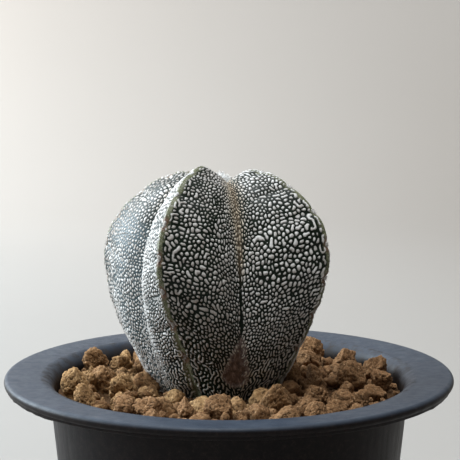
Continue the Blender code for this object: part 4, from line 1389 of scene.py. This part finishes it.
def cut_drains(pot):
    """Cuts the side drains through the pot's floor."""
    bm = bmesh.new()
    for i in range(SIDE_DRAINS):
        turn = 2.0 * math.pi * (i + 0.5) / SIDE_DRAINS
        made = bmesh.ops.create_cone(
            bm, cap_ends=True, segments=28, radius1=SIDE_DRAIN_RADIUS * MM, radius2=SIDE_DRAIN_RADIUS * MM,
            depth=3.0 * FLOOR * MM,
        )
        bmesh.ops.translate(bm, verts=made["verts"], vec=(
            SIDE_DRAIN_CIRCLE * math.cos(turn) * MM, SIDE_DRAIN_CIRCLE * math.sin(turn) * MM,
            (FOOT_HEIGHT + FLOOR / 2.0) * MM,
        ))
    mesh = bpy.data.meshes.new("drain_cutters")
    bm.to_mesh(mesh)
    bm.free()
    cutter = bpy.data.objects.new("drain_cutters", mesh)
    bpy.context.scene.collection.objects.link(cutter)
    drains = pot.modifiers.new("Drains", "BOOLEAN")
    drains.operation = "DIFFERENCE"
    drains.object = cutter
    drains.solver = "EXACT"
    graph = bpy.context.evaluated_depsgraph_get()
    result = bpy.data.meshes.new_from_object(pot.evaluated_get(graph))
    pot.modifiers.clear()
    pot.data = result
    bpy.data.objects.remove(cutter, do_unlink=True)


def build_pot(material):
    """The pot, turned from its profile; the flange droops a little and the moulding lip is ragged."""
    profile = np.array(pot_profile())
    angle = np.linspace(0.0, 2.0 * math.pi, POT_STEPS, endpoint=False)
    radius = np.repeat(profile[:, :1], POT_STEPS, 1)
    z = np.repeat(profile[:, 1:], POT_STEPS, 1)
    flange = smoothstep(WALL_TOP_RADIUS + 1.0, RIM_RADIUS, radius) * (z > POT_HEIGHT - 8.0)
    z = z - FLANGE_DROOP * flange * (1.0 + np.cos(angle - math.radians(DROOP_AZIMUTH)))[None] / 2.0
    lip_z = POT_HEIGHT - UNDERSIDE - LIP_THICKNESS
    on_lip = (np.abs(z - lip_z) < 0.62) & (np.abs(radius - LIP_RADIUS + 0.5 * LIP_WIDTH) < 0.7)
    ragged = np.array([
        noise.fractal(Vector((math.cos(a) * 9.0, math.sin(a) * 9.0, 0.0)), 0.6, 2.3, 5) for a in angle
    ])
    turned = (np.degrees(angle) - RAGGED_AZIMUTH + 180.0) % 360.0 - 180.0
    worst = 0.25 + 0.75 * np.exp(-(turned / RAGGED_SPAN) ** 2)
    z = z - on_lip * (np.abs(ragged) * RAGGED_FALL * worst)[None]
    radius = radius + on_lip * (ragged * RAGGED_REACH * worst)[None]
    points = np.stack([radius * np.cos(angle), radius * np.sin(angle), z], -1).reshape(-1, 3)
    down = np.arange(len(profile)) >= len(profile) - INSIDE_POINTS
    inside = np.repeat(down * (profile[:, 0] < THROAT_RADIUS - 0.15), POT_STEPS).astype(float)
    inside = inside * (points[:, 2] > POT_HEIGHT - 6.0)
    quads = np.roll(band_quads(len(profile), POT_STEPS, closed=True), -1, axis=1)
    pot = make_mesh("pot_dressed", points, [quads], material, inside=inside)
    cut_drains(pot)
    finish_piece(pot, "pot")


# Stage in millimetres, lights and camera in metres
STAGE_RADIUS = 850.0
SWEEP_RADIUS = 650.0
SWEEP_ANGLE = 84.0
SWEEP_POINTS = 14
STAGE_STEPS = 96
CAMERA_PLACE = (0.000224, -0.27282, 0.13899)
CAMERA_FALL = 7.239  # degrees below level
CAMERA_LENS = 107.68
WINDOW_SIDE = (-0.55, 0.45, 0.70)  # the side from which the air is brightest
# Each light: where it stands, what it faces, its size, its power and its colour.
LIGHTS = {
    "window_left": ((-0.94, 0.34, 0.50), (0.0, 0.0, 0.09), (1.0, 0.7), 31.0, (0.80, 0.92, 1.0)),
    "window_back": ((-0.45, 0.85, 0.95), (0.0, 0.0, 0.10), (0.9, 0.6), 4.5, (0.92, 0.96, 1.0)),
    "skylight": ((-0.10, -0.14, 1.05), (0.0, 0.0, 0.11), (0.4, 0.4), 9.0, (0.90, 0.96, 1.0)),
    "wall_wash": ((-0.80, 0.95, 0.60), (-0.25, 1.60, 0.38), (0.4, 0.4), 21.0, (1.0, 0.985, 0.955)),
}


def stage_material():
    paint = Paint("studio_sweep", 0.9)
    paint.shader.inputs["Specular IOR Level"].default_value = 0.1
    color = paint.ramp(paint.noise(400.0, 2.0), (0.3, (0.282, 0.268, 0.254)), (0.7, (0.290, 0.276, 0.262)))
    # Painted shade, mixed in where the shade attribute is high.
    return paint.done(paint.mix(paint.attribute("shade"), color, (0.220, 0.200, 0.180)))


def build_stage():
    """A pale round floor that sweeps up into a wall, so that no edge shows from any side."""
    profile = [(300.0, 0.0), (600.0, 0.0), (STAGE_RADIUS, 0.0)]
    for i in range(1, SWEEP_POINTS + 1):
        turn = math.radians(SWEEP_ANGLE * i / SWEEP_POINTS)
        profile.append((STAGE_RADIUS + SWEEP_RADIUS * math.sin(turn), SWEEP_RADIUS * (1.0 - math.cos(turn))))
    points = [(0.0, 0.0, 0.0)]
    for radius, z in profile:
        for a in np.linspace(0.0, 2.0 * math.pi, STAGE_STEPS, endpoint=False):
            points.append((radius * math.cos(a), radius * math.sin(a), z))
    points = np.array(points)
    ring = np.arange(STAGE_STEPS)
    tris = np.stack([np.zeros(STAGE_STEPS, int), 1 + ring, 1 + (ring + 1) % STAGE_STEPS], 1)
    faces = [tris, band_quads(len(profile), STAGE_STEPS, first=1)]
    wall = smoothstep(0.0, 300.0, points[:, 2])
    # Painted shade: the stage is darker to the right, most of all on the floor.
    shade = smoothstep(-250.0, 600.0, points[:, 0]) * (1.0 - 0.75 * wall) + 0.18 * wall
    stage = make_mesh("studio_floor", points, faces, stage_material(), shade=shade)
    stage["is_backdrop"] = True


def area_light(name, location, target, size, power, color):
    data = bpy.data.lights.new(name, "AREA")
    data.shape = "RECTANGLE"
    data.size, data.size_y = size
    data.energy = power
    data.color = color
    light = bpy.data.objects.new(name, data)
    light.location = location
    light.rotation_euler = (Vector(target) - Vector(location)).to_track_quat("-Z", "Y").to_euler()
    bpy.context.scene.collection.objects.link(light)


def build_world():
    """Air that is brightest high up at the back left, where the window is."""
    world = bpy.data.worlds.new("studio_air")
    world.use_nodes = True
    nodes, links = world.node_tree.nodes, world.node_tree.links
    direction = nodes.new("ShaderNodeTexCoord").outputs["Generated"]
    facing = nodes.new("ShaderNodeVectorMath")
    facing.operation = "DOT_PRODUCT"
    facing.inputs[1].default_value = Vector(WINDOW_SIDE).normalized()
    links.new(direction, facing.inputs[0])
    glow = nodes.new("ShaderNodeMapRange")
    for key, number in zip(("From Min", "From Max", "To Min", "To Max"), (-0.2, 1.0, 0.033, 1.0)):
        glow.inputs[key].default_value = number
    links.new(facing.outputs["Value"], glow.inputs["Value"])
    nodes["Background"].inputs["Color"].default_value = (1.0, 0.985, 0.96, 1.0)
    links.new(glow.outputs["Result"], nodes["Background"].inputs["Strength"])
    bpy.context.scene.world = world


def build_camera():
    """The photograph's viewpoint."""
    camera = bpy.data.cameras.new("photo_camera")
    camera.sensor_width = 36.0
    camera.lens = CAMERA_LENS
    camera.clip_start = 0.01
    camera.clip_end = 20.0
    view = bpy.data.objects.new("photo_camera", camera)
    view.location = CAMERA_PLACE
    view.rotation_euler = (math.radians(90.0 - CAMERA_FALL), 0.0, 0.0)
    bpy.context.scene.collection.objects.link(view)
    bpy.context.scene.camera = view


bpy.context.scene.view_settings.view_transform = "Standard"
build_world()
for light_name, settings in LIGHTS.items():
    area_light(light_name, *settings)
build_camera()
build_stage()
build_pot(pot_material())
build_substrate(grain_material())
build_skin(skin_material())
build_flecks(fleck_material())
build_wool(wool_material())

[[list(corner) for corner in box] for box in (CAD_BOX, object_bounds())]
